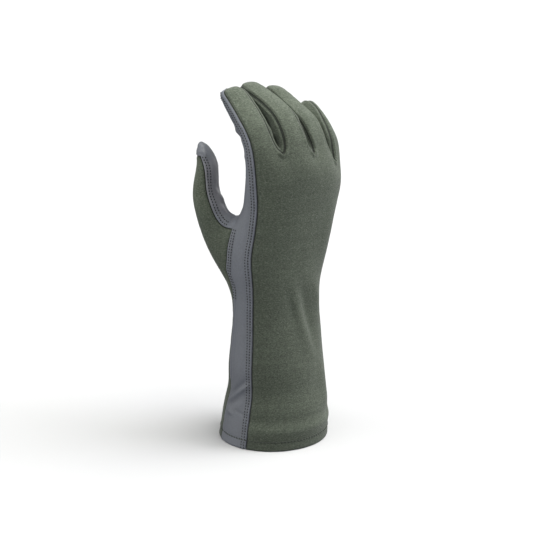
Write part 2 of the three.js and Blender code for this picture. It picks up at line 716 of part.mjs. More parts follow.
// The origin is at the middle of the glove's outline, on the surface that the hem stands on.
const box = new THREE.Box3().setFromObject(glove);
glove.position.set(-(box.min.x + box.max.x) / 2, -(box.min.y + box.max.y) / 2, -box.min.z);

export default glove;
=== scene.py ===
"""Looks for the flight glove: the seven cloth and leather pieces, their stitching and a plain studio."""

import math

import bpy
import numpy as np
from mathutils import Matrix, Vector
from mathutils.bvhtree import BVHTree
from mathutils.kdtree import KDTree


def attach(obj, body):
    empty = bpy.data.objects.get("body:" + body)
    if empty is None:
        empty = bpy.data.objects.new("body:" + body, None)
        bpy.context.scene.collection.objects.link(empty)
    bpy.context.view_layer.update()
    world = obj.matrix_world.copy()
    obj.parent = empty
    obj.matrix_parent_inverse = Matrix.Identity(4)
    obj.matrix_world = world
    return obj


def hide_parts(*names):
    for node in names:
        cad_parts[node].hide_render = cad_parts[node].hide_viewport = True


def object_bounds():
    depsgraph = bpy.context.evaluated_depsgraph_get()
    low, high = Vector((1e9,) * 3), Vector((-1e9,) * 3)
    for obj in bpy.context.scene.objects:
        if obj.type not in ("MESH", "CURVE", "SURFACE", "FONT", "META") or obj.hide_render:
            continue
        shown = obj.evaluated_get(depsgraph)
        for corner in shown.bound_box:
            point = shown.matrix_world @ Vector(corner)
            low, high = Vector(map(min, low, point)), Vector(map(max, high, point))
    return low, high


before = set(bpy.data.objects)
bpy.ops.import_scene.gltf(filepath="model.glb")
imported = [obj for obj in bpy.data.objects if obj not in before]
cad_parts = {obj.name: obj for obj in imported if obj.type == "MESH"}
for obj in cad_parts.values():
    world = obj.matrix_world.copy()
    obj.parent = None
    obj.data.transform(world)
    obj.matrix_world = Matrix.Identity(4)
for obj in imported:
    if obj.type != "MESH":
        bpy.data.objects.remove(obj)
cad_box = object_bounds()

# Everything about shape below is in millimetres, in the glove's own axes, and becomes metres at the end.
MM = 0.001

# Driving sizes, the same as the solids'.
GAUNTLET_LENGTH = 115.0
HAND_LENGTH = 131.0
FINGER_LENGTH = 80.0
THUMB_LENGTH = 110.0
THUMB_REACH = 67.5
THUMB_WIDTH = 25.0
CUFF_WIDTH = 95.0
CUFF_DEPTH = 91.6
WRIST_WIDTH = 79.0
WRIST_DEPTH = 57.0
FINGER_PITCH = 24.0
FINGER_DEPTH = 21.5
FINGER_GAP = 1.4
HAND_DEPTH = 32.0
WALL = 1.2
LEATHER_RISE = 0.5
HEM_HEIGHT = 8.0
HEM_TURN = 1.0
SEAM_GAP = 0.3
FOOT = 0.3 * HEM_HEIGHT  # what lies lower is the rim that stands on the floor

# How many quads each run of the cage has.
PER_FINGER = 4
SIDE = 4
FINGER_ROWS = 10
GAUNTLET_ROWS = 13
HAND_ROWS = 14
SEAT_COLUMNS = 5
SEAT_ROWS = 5
SEAT_START = 16
SEAT_LIFT = 15.0
SEAT_LIFT_REACH = {"rows": 1.6, "columns": 2.2}
RELAX_PASSES = 6
# The share of the way to its neighbours' middle that a vertex goes in each relaxing pass
SLACK = {"crotch": 0.6, "seat": 0.55, "web": 0.5, "cap": 0.3}
FINGER_SLACK = {1: 0.5, 2: 0.25}  # by row from the finger's root
THUMB_SLACK = {0: 0.6, 1: 0.4, 2: 0.2}

# Sections of gauntlet and hand, as in the solids. at is 0 at the hem, 1 at the wrist and 2 at the crotches.
BODY_COLUMNS = (
    "at", "width", "depth", "ulnar", "palm", "arch", "square", "to_strip", "to_side", "strip", "thenar",
)
BODY_SIZES = [(CUFF_WIDTH, CUFF_DEPTH)] * 4 + [(WRIST_WIDTH, WRIST_DEPTH)] * 5
BODY_SIZES += [(4 * FINGER_PITCH, HAND_DEPTH)] * 4
BODY_SHARES = [
    (0.0, 1.0, 1.0, 0.0, 0.0, 0, 2.0, 0.187, 0.187, 0.118, 0),
    (0.25, 0.958, 0.94, 0.03, 0.0, 0, 2.0, 0.187, 0.187, 0.116, 0),
    (0.39, 0.905, 0.83, 0.045, 0.0, 0, 2.05, 0.185, 0.185, 0.118, 0),
    (0.54, 0.9, 0.8, 0.035, 0.0, 0, 2.05, 0.184, 0.184, 0.12, 0),
    (0.68, 1.05, 1.18, 0.035, 0.0, 0, 2.1, 0.183, 0.183, 0.122, 0),
    (0.82, 1.025, 1.09, 0.038, 0.0, 0, 2.1, 0.183, 0.183, 0.124, 0),
    (0.96, 1.0, 1.0, 0.035, 0.0, 0, 2.1, 0.183, 0.183, 0.125, 0),
    (1.08, 0.99, 0.97, 0.03, -0.01, 0, 2.1, 0.184, 0.184, 0.102, 0.06),
    (1.22, 1.03, 0.92, 0.05, -0.03, 4, 2.1, 0.186, 0.187, 0.076, 0.2),
    (1.35, 0.91, 1.5, 0.07, -0.05, 9, 2.15, 0.188, 0.196, 0.09, 0.25),
    (1.53, 0.94, 1.3, 0.1, -0.1, 17, 2.25, 0.183, 0.215, 0.095, 0.08),
    (1.73, 0.985, 1.12, 0.133, -0.145, 26, 2.4, 0.185, 0.245, 0.08, 0),
    (2.0, 1.1, 1.0, 0.16, -0.185, 33, 2.5, 0.214, 0.262, 0.06, 0),
]
THUMB_TURN = 45.0
THENAR_SPREAD = 34.0
CROTCHES = (0.975, 1.0, 0.985, 0.88, 0.83)
PALM_DROP = 0.055

FINGER_COLUMNS = ("name", "length", "width", "base", "middle", "end", "lean", "roll", "splay")
FINGERS = [
    ("index", 0.9, 1.05, 20, 28, 3, -4, -16, -1),
    ("middle", 1.13, 1.02, 12, 51, 8, -3, -4, -2),
    ("ring", 1.13, 1.0, 12, 50, 2, 0, 1, -1),
    ("little", 0.87, 1.0, 4, 36, 18, -3, 30, 2),
]
FINGER_SECTION_COLUMNS = ("along", "width", "depth", "side")
FINGER_SECTIONS = [
    (0.0, 1.1, 1.04, 40),
    (0.2, 1.08, 1.0, 40),
    (0.45, 1.02, 0.96, 40),
    (0.62, 0.98, 0.9, 40),
    (0.8, 0.94, 0.84, 38),
    (1.0, 0.88, 0.78, 34),
]
JOINTS = (0.28, 0.62)
JOINT_BLEND = 0.16
TIP_ROUND = 0.16
TIP_SQUARE = 2.2
TIP_RINGS = (0.42, 0.74, 0.93)
FINGER_SQUARE = 2.5

THUMB_COLUMNS = ("back_out", "back_up", "pad_out", "pad_up", "wide", "seam")
THUMB = [
    (0.8, 0.13, 0.47, 0.385, 1.35, 112),
    (0.88, 0.23, 0.545, 0.425, 1.22, 113),
    (0.945, 0.34, 0.6, 0.49, 1.1, 110),
    (0.985, 0.47, 0.65, 0.56, 1.03, 108),
    (1.015, 0.585, 0.69, 0.65, 1.0, 104),
    (0.995, 0.705, 0.69, 0.74, 1.02, 98),
    (0.95, 0.815, 0.69, 0.825, 1.02, 86),
    (0.95, 0.9, 0.74, 0.9, 0.92, 66),
    (0.935, 0.965, 0.82, 0.96, 0.6, 64),
]
THUMB_TIP = (0.9, 1.0)
THUMB_ASIDE = 0.03
THUMB_SQUARE = 2.2

BACK = 4 * PER_FINGER
ULNAR_END = BACK + SIDE
PALM_END = ULNAR_END + BACK
COLUMNS = PALM_END + SIDE
ULNAR_SEAM = BACK + SIDE // 2
SEAT_LEFT = PALM_END - SEAT_COLUMNS
ROWS = GAUNTLET_ROWS + HAND_ROWS
# Where seams stand on a ring: the side seam on the little finger's, and the thumb front's two on the thumb's
LITTLE_SEAM = PER_FINGER + SIDE // 2
THUMB_FRONT = (SEAT_COLUMNS + SEAT_ROWS - 1, 2 * SEAT_COLUMNS + SEAT_ROWS + 1)

PIECES = (
    "back_panel",
    "palm_panel",
    "thumb_front",
    "thumb_back",
    "fourchette_index_middle",
    "fourchette_middle_ring",
    "fourchette_ring_little",
)
LEATHER_PIECES = ("palm_panel", "thumb_front")


def as_rows(columns, table):
    return [dict(zip(columns, row)) for row in table]


def body_rows():
    rows = as_rows(BODY_COLUMNS, BODY_SHARES)
    for row, (width, depth) in zip(rows, BODY_SIZES):
        row["width"] *= width
        row["depth"] *= depth
    return rows


BODY = body_rows()
FINGER_ROWS_TABLE = as_rows(FINGER_SECTION_COLUMNS, FINGER_SECTIONS)
CROTCH_ROWS = [{"i": i, "height": height} for i, height in enumerate(CROTCHES)]


def mix(a, b, t):
    return a + (b - a) * t


def smooth(t):
    t = min(1.0, max(0.0, t))
    return t * t * (3 - 2 * t)


def along(table, key, x, column):
    """A smooth curve through one column of a table, by Hermite spans."""
    last = len(table) - 1
    i = 0
    while i < last - 1 and x > table[i + 1][key]:
        i += 1
    p, q, r, s = (table[min(last, max(0, k))] for k in (i - 1, i, i + 1, i + 2))
    span = r[key] - q[key]
    t = min(1.0, max(0.0, (x - q[key]) / span))
    slope_q = (r[column] - p[column]) / ((r[key] - p[key]) or span) * span
    slope_r = (s[column] - q[column]) / ((s[key] - q[key]) or span) * span
    t2 = t * t
    t3 = t2 * t
    return (
        (2 * t3 - 3 * t2 + 1) * q[column]
        + (t3 - 2 * t2 + t) * slope_q
        + (3 * t2 - 2 * t3) * r[column]
        + (t3 - t2) * slope_r
    )


def lengths_along(polyline):
    """How far along a polyline each of its points lies."""
    return np.concatenate([[0], np.cumsum(np.linalg.norm(np.diff(polyline, axis=0), axis=1))])


def walk(polyline, distance):
    """The point at a distance along a polyline, or the points at several distances."""
    lengths = lengths_along(polyline)
    return np.stack([np.interp(distance, lengths, values) for values in polyline.T], axis=-1)


def rounded_box(a, b, square, angle):
    """A point of a rounded box of half-sizes a and b, at an angle from the back towards +x."""
    s, c = math.sin(angle), math.cos(angle)
    x = math.copysign(abs(s) ** (2 / square), s)
    y = math.copysign(abs(c) ** (2 / square), c)
    return a * x, -b * y


class BodySection:
    """The body's section at one height."""

    STEPS = 180

    def __init__(self, at):
        self.value = lambda column: along(BODY, "at", at, column)
        self.width = self.value("width")
        a, b, square = self.width / 2, self.value("depth") / 2, self.value("square")
        angles = [2 * math.pi * i / self.STEPS for i in range(self.STEPS + 1)]
        self.points = np.array([rounded_box(a, b, square, angle) for angle in angles])
        self.length = lengths_along(self.points)[-1]
        self.seams = [self.value(column) for column in ("to_strip", "to_side", "strip")]

    def point(self, share):
        x, y = walk(self.points, (share - math.floor(share)) * self.length)
        arch = math.radians(self.value("arch"))
        if arch > 0.001:
            radius = self.width / 2 / arch
            turn = x / radius
            x, y = (radius - y) * math.sin(turn), radius - (radius - y) * math.cos(turn)
        turn = math.radians(THUMB_TURN)
        off = math.atan2(y, -x) - turn
        off = math.atan2(math.sin(off), math.cos(off)) / math.radians(THENAR_SPREAD)
        bulge = self.value("thenar") * THUMB_REACH * math.exp(-off * off)
        return (
            self.value("ulnar") * self.width + x - bulge * math.cos(turn),
            self.value("palm") * self.width + y + bulge * math.sin(turn),
        )


def column_share(column, seams):
    to_strip, to_side, strip = seams
    if column <= BACK:
        return mix(-to_strip, to_side, column / BACK)
    if column <= ULNAR_END:
        return to_side + strip * (column - BACK) / SIDE
    if column <= PALM_END:
        return mix(to_side + strip, 1 - to_strip - strip, (column - ULNAR_END) / BACK)
    return mix(1 - to_strip - strip, 1 - to_strip, (column - PALM_END) / SIDE)


def crotch(column):
    across, drop = column / PER_FINGER, 0
    if column > PALM_END:
        across, drop = 0, (COLUMNS - column) / SIDE
    elif column > BACK:
        across = min(len(CROTCHES) - 1, (PALM_END - column) / PER_FINGER)
        drop = min(1, (column - BACK) / SIDE)
    return along(CROTCH_ROWS, "i", across, "height") - PALM_DROP * smooth(drop)


def seat_lift(row, column):
    """How much higher the gusset's corner beside the strip stands than its row."""
    up = (row - SEAT_START - SEAT_ROWS + 1) / SEAT_LIFT_REACH["rows"]
    across = (column - PALM_END) / SEAT_LIFT_REACH["columns"]
    return SEAT_LIFT * math.exp(-up * up - across * across)


class Cage:
    """The coarse quads of the whole shell, with the piece that each belongs to."""

    def __init__(self):
        self.vertices = []
        self.loose = []
        self.quads = []
        self.labels = []
        self.grid = []
        self.finger_rings = []
        self.thumb_rings = []
        self.build_body()
        self.build_fingers()
        self.build_thumb()
        self.relax()

    def vertex(self, point, slack=0.0):
        self.vertices.append(np.array(point, float))
        self.loose.append(slack)
        return len(self.vertices) - 1

    def quad(self, piece, *corners):
        self.quads.append(corners)
        self.labels.append(PIECES.index(piece))

    def row_place(self, row):
        hem = HEM_HEIGHT / GAUNTLET_LENGTH
        if row <= 1:
            return row * hem
        if row <= GAUNTLET_ROWS:
            return mix(hem, 1, (row - 1) / (GAUNTLET_ROWS - 1))
        return 1 + (row - GAUNTLET_ROWS) / HAND_ROWS

    def build_body(self):
        for row in range(ROWS + 1):
            at = self.row_place(row)
            section = BodySection(at)
            up = max(0.0, at - 1)
            line = []
            for column in range(COLUMNS):
                x, y = section.point(column_share(column, section.seams))
                z = min(1.0, at) * GAUNTLET_LENGTH + up * HAND_LENGTH * mix(1, crotch(column), up)
                z += seat_lift(row, column)
                line.append(self.vertex((x, y, z), smooth((at - 1.75) / 0.25) * SLACK["crotch"]))
            self.grid.append(line)
        for row in range(ROWS):
            self.band(self.grid[row], self.grid[row + 1], lambda i, row=row: self.body_piece(row, i))
        for row in range(SEAT_START - 2, SEAT_START + SEAT_ROWS + 3):
            for column in range(SEAT_LEFT - 3, PALM_END + 4):
                v = self.grid[row][column % COLUMNS]
                self.loose[v] = max(self.loose[v], SLACK["seat"])

    def body_piece(self, row, column):
        """The piece that a quad of the body belongs to, or None where the thumb is let in."""
        if column < ULNAR_SEAM:
            return "back_panel"
        if SEAT_LEFT <= column < PALM_END:
            if row < SEAT_START:
                return "thumb_back"
            if row < SEAT_START + SEAT_ROWS:
                return None
        return "palm_panel"

    def band(self, lower, upper, piece_of):
        for i in range(len(lower)):
            after = (i + 1) % len(lower)
            if piece_of(i):
                self.quad(piece_of(i), lower[i], lower[after], upper[after], upper[i])

    def cap(self, ring, across, down, tip, piece_of):
        """Closes a ring whose sides are across, down, across and down quads long, with a domed grid."""
        v = self.vertices
        corners = [v[ring[k]] for k in (0, across, across + down, 2 * across + down)]
        dome = np.array(tip) - sum(corners) / 4
        grid = [[0] * (across + 1) for _ in range(down + 1)]
        for i in range(across + 1):
            grid[0][i], grid[down][i] = ring[i], ring[2 * across + down - i]
        for j in range(down + 1):
            grid[j][0], grid[j][across] = ring[-j], ring[across + j]
        for j in range(1, down):
            for i in range(1, across):
                s, t = i / across, j / down
                p = mix(v[grid[j][0]], v[grid[j][across]], s) + mix(v[grid[0][i]], v[grid[down][i]], t)
                p = p - (1 - s) * (1 - t) * corners[0] - s * (1 - t) * corners[1]
                p = p - s * t * corners[2] - (1 - s) * t * corners[3]
                grid[j][i] = self.vertex(p + dome * 16 * s * (1 - s) * t * (1 - t), SLACK["cap"])
        for j in range(down):
            for i in range(across):
                corner = (grid[j][i], grid[j][i + 1], grid[j + 1][i + 1], grid[j + 1][i])
                self.quad(piece_of(i, j), *corner)

    def build_fingers(self):
        top = self.grid[ROWS]
        palm = [PALM_END - i * PER_FINGER for i in range(5)]
        webs = []
        for i in (1, 2, 3):
            ends = self.vertices[top[i * PER_FINGER]], self.vertices[top[palm[i]]]
            webs.append([self.vertex(mix(*ends, k / SIDE), SLACK["web"]) for k in range(1, SIDE)])

        def run(first, last):
            return [top[c % COLUMNS] for c in range(first, last + 1)]

        fingers = as_rows(FINGER_COLUMNS, FINGERS)
        names = [f"fourchette_{a['name']}_{b['name']}" for a, b in zip(fingers, fingers[1:])]
        for i, finger in enumerate(fingers):
            little = i == len(fingers) - 1
            ulnar_side = run(BACK + 1, ULNAR_END - 1) if little else webs[i]
            radial_side = webs[i - 1][::-1] if i else run(PALM_END + 1, COLUMNS - 1)
            root = run(i * PER_FINGER, (i + 1) * PER_FINGER) + ulnar_side
            root += run(palm[i + 1], palm[i]) + radial_side

            def piece_of(k, i=i, little=little):
                if k < PER_FINGER:
                    return "back_panel"
                if k < PER_FINGER + SIDE:
                    if little:
                        return "back_panel" if k - PER_FINGER < SIDE / 2 else "palm_panel"
                    return names[i]
                if k < 2 * PER_FINGER + SIDE:
                    return "palm_panel"
                return names[i - 1] if i else "palm_panel"

            self.finger(finger, root, piece_of)

    def finger(self, finger, root, piece_of):
        start = sum(self.vertices[v] for v in root) / len(root)
        line = FingerLine(finger, start)
        width = finger["width"] * FINGER_PITCH - FINGER_GAP
        depth = FINGER_DEPTH * mix(1, finger["width"], 0.5)
        ring = root
        rings = [root]
        straight = FINGER_ROWS - len(TIP_RINGS)
        for row in range(1, FINGER_ROWS + 1):
            if row <= straight:
                t = (1 - TIP_ROUND) * row / straight
            else:
                t = 1 - TIP_ROUND + TIP_ROUND * TIP_RINGS[row - straight - 1]
            place, back, across = line.at(t)
            into = max(0.0, (t - (1 - TIP_ROUND)) / TIP_ROUND)
            shrink = (1 - into**TIP_SQUARE) ** (1 / TIP_SQUARE)
            a = width * along(FINGER_ROWS_TABLE, "along", t, "width") * shrink / 2
            b = depth * along(FINGER_ROWS_TABLE, "along", t, "depth") * shrink / 2
            slack = FINGER_SLACK.get(row, 0.0)
            upper = []
            for angle in finger_angles(along(FINGER_ROWS_TABLE, "along", t, "side")):
                x, y = rounded_box(a, b, FINGER_SQUARE, angle)
                upper.append(self.vertex(place + across * x - back * y, slack))
            self.band(ring, upper, piece_of)
            ring = upper
            rings.append(ring)
        tip = line.at(1.0)[0]

        def tip_piece_of(i, j):
            if j >= SIDE / 2:
                return "palm_panel"
            if i == 0:
                return piece_of(2 * PER_FINGER + 2 * SIDE - 1)
            return piece_of(PER_FINGER) if i == PER_FINGER - 1 else "back_panel"

        self.cap(ring, PER_FINGER, SIDE, tip, tip_piece_of)
        self.finger_rings.append(rings)

    def build_thumb(self):
        grid = self.grid
        seat_top = SEAT_START + SEAT_ROWS
        ring = [grid[SEAT_START][SEAT_LEFT + i] for i in range(SEAT_COLUMNS)]
        ring += [grid[SEAT_START + j][PALM_END] for j in range(SEAT_ROWS)]
        ring += [grid[seat_top][PALM_END - i] for i in range(SEAT_COLUMNS)]
        ring += [grid[seat_top - j][SEAT_LEFT] for j in range(SEAT_ROWS)]
        count = len(ring)
        first, last = THUMB_FRONT

        def piece_of(i):
            return "thumb_front" if first <= i < last else "thumb_back"

        def angle_of(i, seam):
            if first <= i <= last:
                return math.radians(mix(-seam, seam - 360, (i - first) / (last - first)))
            past = i + count - last if i < first else i - last
            return math.radians(mix(seam, -seam, past / (count - (last - first))))

        turn = math.radians(THUMB_TURN)
        out = np.array([-math.cos(turn), math.sin(turn), 0])
        aside = np.array([math.sin(turn), math.cos(turn), 0])
        seat_height = self.vertices[grid[SEAT_START][PALM_END]][2]

        def spot(reach, up):
            place = out * reach * THUMB_REACH + aside * THUMB_ASIDE * THUMB_REACH
            return place + np.array([0, 0, seat_height + up * THUMB_LENGTH])

        self.thumb_rings.append(ring)
        for row, section in enumerate(as_rows(THUMB_COLUMNS, THUMB)):
            back = spot(section["back_out"], section["back_up"])
            pad = spot(section["pad_out"], section["pad_up"])
            centre = (back + pad) / 2
            half = np.linalg.norm(back - centre)
            toward_back = (back - centre) / half
            slack = THUMB_SLACK.get(row, 0.0)
            upper = []
            for i in range(count):
                angle = angle_of(i, section["seam"])
                x, y = rounded_box(THUMB_WIDTH * section["wide"] / 2, half, THUMB_SQUARE, angle)
                upper.append(self.vertex(centre + aside * x - toward_back * y, slack))
            at_tip = row == len(THUMB) - 1
            self.band(ring, upper, (lambda i: "thumb_front") if at_tip else piece_of)
            ring = upper
            self.thumb_rings.append(ring)
        self.cap(ring, SEAT_COLUMNS, SEAT_ROWS, spot(*THUMB_TIP), lambda i, j: "thumb_front")

    def relax(self):
        self.vertices = np.array(self.vertices)
        self.quads = np.array(self.quads)
        self.labels = np.array(self.labels)
        edges = np.unique(np.sort(quad_sides(self.quads), axis=1), axis=0)
        degree = np.bincount(edges.ravel(), minlength=len(self.vertices))
        slack = np.array(self.loose)[:, None]
        for _ in range(RELAX_PASSES):
            total = np.zeros_like(self.vertices)
            np.add.at(total, edges[:, 0], self.vertices[edges[:, 1]])
            np.add.at(total, edges[:, 1], self.vertices[edges[:, 0]])
            middle = total / np.maximum(degree, 1)[:, None]
            self.vertices = mix(self.vertices, middle, np.where(degree[:, None] > 0, slack, 0))


def finger_angles(side):
    """The angles of a finger's columns: back, ulnar side, palm and radial side."""
    edge, far = 90 - side, 90 + side
    corners = (-edge, edge, far, 360 - far, 360 - edge)
    spans = zip(corners, corners[1:], (PER_FINGER, SIDE, PER_FINGER, SIDE))
    return [math.radians(mix(a, b, i / count)) for a, b, count in spans for i in range(count)]


class FingerLine:
    """A finger's centre line, and the directions across it, at a share of its length."""

    STEPS = 60

    def __init__(self, finger, start):
        lean, roll = math.radians(finger["lean"]), math.radians(finger["roll"])
        bend_to = np.array([-math.sin(lean), math.cos(lean), 0])
        aside = np.array([math.cos(lean), math.sin(lean), 0])
        self.up = np.array([math.sin(roll), -math.cos(roll), 0])
        self.places = [start]
        self.tangents = []
        for i in range(self.STEPS + 1):
            t = i / self.STEPS
            bent = [smooth((t - joint) / JOINT_BLEND + 0.5) for joint in JOINTS]
            pitch = math.radians(finger["base"] + finger["middle"] * bent[0] + finger["end"] * bent[1])
            tangent = np.array([0, 0, math.cos(pitch)]) + bend_to * math.sin(pitch)
            tangent = tangent + aside * math.sin(math.radians(finger["splay"]))
            tangent = tangent / np.linalg.norm(tangent)
            self.tangents.append(tangent)
            self.places.append(self.places[i] + tangent * finger["length"] * FINGER_LENGTH / self.STEPS)

    def at(self, t):
        i = min(self.STEPS - 1, int(t * self.STEPS))
        place = mix(self.places[i], self.places[i + 1], t * self.STEPS - i)
        tangent = self.tangents[min(self.STEPS, int(t * self.STEPS + 0.5))]
        back = self.up - tangent * (self.up @ tangent)
        back = back / np.linalg.norm(back)
        return place, back, np.cross(tangent, back)


def unit(vectors):
    return vectors / np.maximum(np.linalg.norm(vectors, axis=-1, keepdims=True), 1e-12)


def quad_sides(quads):
    return np.stack([quads, np.roll(quads, -1, axis=1)], axis=-1).reshape(-1, 2)


def sums(count, indices, values):
    """For each of count things, the sum of the values of the rows that name it."""
    total = np.zeros((count, 3))
    for column in indices.T:
        np.add.at(total, column, values)
    return total


def vertex_normals(vertices, quads):
    a, b, c, d = (vertices[quads[:, k]] for k in range(4))
    normals = sums(len(vertices), quads, np.cross(c - a, d - b))
    normals[vertices[:, 2] < FOOT, 2] = 0
    return unit(normals)


def subdivide(vertices, quads):
    """One Catmull-Clark step. Old vertices keep their numbers, and each quad becomes four in a row."""
    count = len(vertices)
    edges, index = np.unique(np.sort(quad_sides(quads), axis=1), axis=0, return_inverse=True)
    index = index.reshape(-1, 4)
    uses = np.bincount(index.ravel(), minlength=len(edges))
    faces = vertices[quads].mean(axis=1)
    middles = vertices[edges].mean(axis=1)
    inside = (uses == 2)[:, None]
    edge_points = np.where(inside, (middles * 2 + sums(len(edges), index, faces)) / 4, middles)
    rim_sum = np.zeros((count, 3))
    rim = np.zeros(count, bool)
    rim_edges = edges[uses == 1]
    for k in (0, 1):
        np.add.at(rim_sum, rim_edges[:, k], vertices[rim_edges[:, 1 - k]])
        rim[rim_edges[:, k]] = True
    n = np.maximum(np.bincount(quads.ravel(), minlength=count), 1)[:, None]
    moved = (sums(count, quads, faces) / n + 2 * sums(count, edges, middles) / n + (n - 3) * vertices) / n
    moved = np.where(rim[:, None], (6 * vertices + rim_sum) / 8, moved)
    e = index + count
    f = (np.arange(len(quads)) + count + len(edges))[:, None]
    split = [np.stack([quads[:, k], e[:, k], f[:, 0], e[:, k - 1]], axis=1) for k in range(4)]
    return np.concatenate([moved, edge_points, faces]), np.stack(split, axis=1).reshape(-1, 4)


# The outer faces have the third step's quads, and the inner faces have the second's.
cage = Cage()
fine_vertices, fine_quads, fine_labels = cage.vertices, cage.quads, cage.labels
for _ in range(3):
    coarse_quads, coarse_labels = fine_quads, fine_labels
    fine_vertices, fine_quads = subdivide(fine_vertices, fine_quads)
    fine_labels = np.repeat(fine_labels, 4)
fine_normals = vertex_normals(fine_vertices, fine_quads)

# The solids stand with the middle of their box at the origin, so the cage moves by the same step.
rise = np.zeros(len(cage.vertices))
for piece in LEATHER_PIECES:
    rise[np.unique(cage.quads[cage.labels == PIECES.index(piece)])] = LEATHER_RISE
outer = cage.vertices + vertex_normals(cage.vertices, cage.quads) * rise[:, None]
SHIFT = np.mean(cad_box, axis=0) / MM - (outer.min(axis=0) + outer.max(axis=0)) / 2
SHIFT[2] = 0.0


# Creases and soft folds, by the pieces that have them. Each runs from one point of the shell to another: six
# numbers for the two ends, then the fold's half-width, and how far it stands out, or in if negative.
FOLDS = {
    ("palm_panel",): [
        # the crease across the strip, and the smaller ones under it
        (-40, 11, 34, -37, -14, 55, 2.0, 1.8),
        (-38.8, 10, 38.5, -36.6, -13, 59, 2.2, -1.5),
        (-41, 8, 30, -39.5, -8, 43, 2.2, -0.9),
        (-41.5, 11, 30, -42.2, 1, 25.5, 1.8, 1.6),
        (-41.5, -1, 30, -40, -16, 27, 1.6, -0.8),
        # lumps and notches down the leather side of the index finger
        (-30.2, 10, 273.5, -30.2, 18, 268.5, 3.0, -1.3),
        (-29.6, 6.3, 266.5, -29.6, 14.3, 261.5, 2.4, 0.8),
        (-30, 2.5, 262, -30, 10.5, 257, 2.6, -0.8),
        (-31.8, -6, 254, -31.8, 2, 251.5, 2.6, -0.3),
        (-33, -9, 246, -32.5, 0, 244, 3.2, 0.7),
    ],
    ("back_panel",): [
        # the long creases beside the wrist
        (-2, -28.5, 136, 15, -31, 76, 6.0, 1.3),
        (6, -27.5, 138, 22.5, -29.5, 76, 6.0, -1.8),
        (-8, -28.5, 136, 0, -28.6, 104, 5.0, -0.7),
        (20, -25, 142, 29, -23, 112, 5.5, 1.2),
        # loose cloth that fills out the outline on the little finger's side
        (43, -25, 206, 34, -21, 146, 9.0, 1.6),
        (30, -22.5, 138, 30, -23, 96, 8.0, 1.8),
        (29, -29, 68, 31, -33.5, 30, 8.0, 2.0),
        (26, -36.5, 21, 37, -30, 21, 3.0, -0.9),
        # the ring fingertip stands fuller
        (24, 38, 292, 33, 18, 286, 6.0, 1.6),
    ],
    # loose cloth that fills out the outline on the thumb's side
    ("thumb_back", "palm_panel"): [
        (-47, 37, 180, -34, 17, 136, 8.0, 2.2),
        (-36.6, 12.9, 54, -38, 16, 32, 5.0, -1.2),
    ],
    # the index fingertip is squarer at its thumb side
    ("palm_panel", "back_panel"): [(-31, 24, 293, -24, 38, 289, 4.5, 2.0)],
    # the thumb's leather, and where it gathers at the web
    ("thumb_front",): [
        (-45, 31.8, 240, -41, 29, 206, 2.4, -1.3),
        (-35, 32.5, 219, -32, 33.5, 209, 2.6, -1.3),
        (-36, 32.5, 212, -26, 30.5, 195.5, 2.6, 1.8),
        (-31, 31, 200, -24, 23, 191, 2.2, -1.4),
        (-28, 27, 193, -24, 20, 187, 2.0, 0.8),
    ],
    # the webs' cloth stands in between the fingers
    ("fourchette_index_middle",): [(-8, -3, 268, -8, -12, 257, 4.0, 1.9)],
    ("fourchette_middle_ring",): [(16.5, -9, 276, 16.5, -13.5, 269, 3.5, 1.3)],
    ("fourchette_ring_little",): [(50.5, 1, 268, 47.8, -16, 244, 3.5, 1.2)],
    # the fingers' knit bulges over the slits beside them
    ("back_panel", "fourchette_middle_ring"): [
        (12.3, -13, 271, 14.5, -28, 249, 3.5, 1.6),
        (27.5, -5, 275, 23.5, -26, 247, 3.8, 1.3),
    ],
    ("back_panel", "fourchette_ring_little"): [(55, 2, 269, 51, -17, 240, 3.5, 1.0)],
}
FOLD_END = 0.07  # a fold's height is a sine along it, which starts and ends this share of a half wave in
# Leather drawn up into small creases, round a point
GATHERS = [
    {"at": (-26.0, 28.0, 195.0), "reach": 15.0, "length": 7.5, "rise": 0.5},
    {"at": (-38.0, 31.0, 222.0), "reach": 14.0, "length": 6.0, "rise": 0.28},
    {"at": (-40.0, 2.0, 33.0), "reach": 15.0, "length": 14.0, "rise": 0.5},
]
GATHER_SEED = 23
# The turned-up hem: a ridge and a valley over it on the back, and a dip at its stitches all round
HEM_RIDGE = {"height": 16.5, "width": 3.8, "rise": 0.75}
HEM_VALLEY = {"height": 25.0, "width": 4.0, "rise": -0.45}
HEM_DIP = {"height": 7.9, "width": 1.5, "rise": -0.22}
# A lip of cloth under each crotch: the lower part of a ring, which fades out over a height
CROTCH_RIMS = {"up": 1.4, "radius": 3.0, "width": 1.2, "rise": 1.45, "fade": 3.0}
LOOSE_WAVES = {"rise": 0.22, "length": 34, "seed": 3, "full_from": 20}
# What the cloth does beside a seam. A band has its rise, its distance from the seam and its half-width. The
# waves have a rise, a length, a seed and a reach from the seam.
SEAM_BANDS = {"leather": [(0.28, 3.4, 1.4), (-0.22, 6.2, 1.2)], "knit": [(-0.35, 0.0, 1.3), (0.3, 2.6, 1.1)]}
SEAM_WAVES = {"leather": (0.2, 8, 11, 6), "knit": (0.12, 9, 12, 7)}
ROLLED_EDGES = {"leather": 0.75, "knit": 0.45, "web": 0.12, "hem": (WALL + HEM_TURN) / 2}  # radii
SEAM_CLOSE = 0.3  # the sewn edges stand this share of the solids' seam gap apart
WEB_CLOSE = 0.3  # and the web's edges this share of that
EDGE_REACH = 4.5  # how far into the cloth the set-back of an edge is felt
INNER_FOLLOWS = 0.3  # the share of it that the inner face takes up

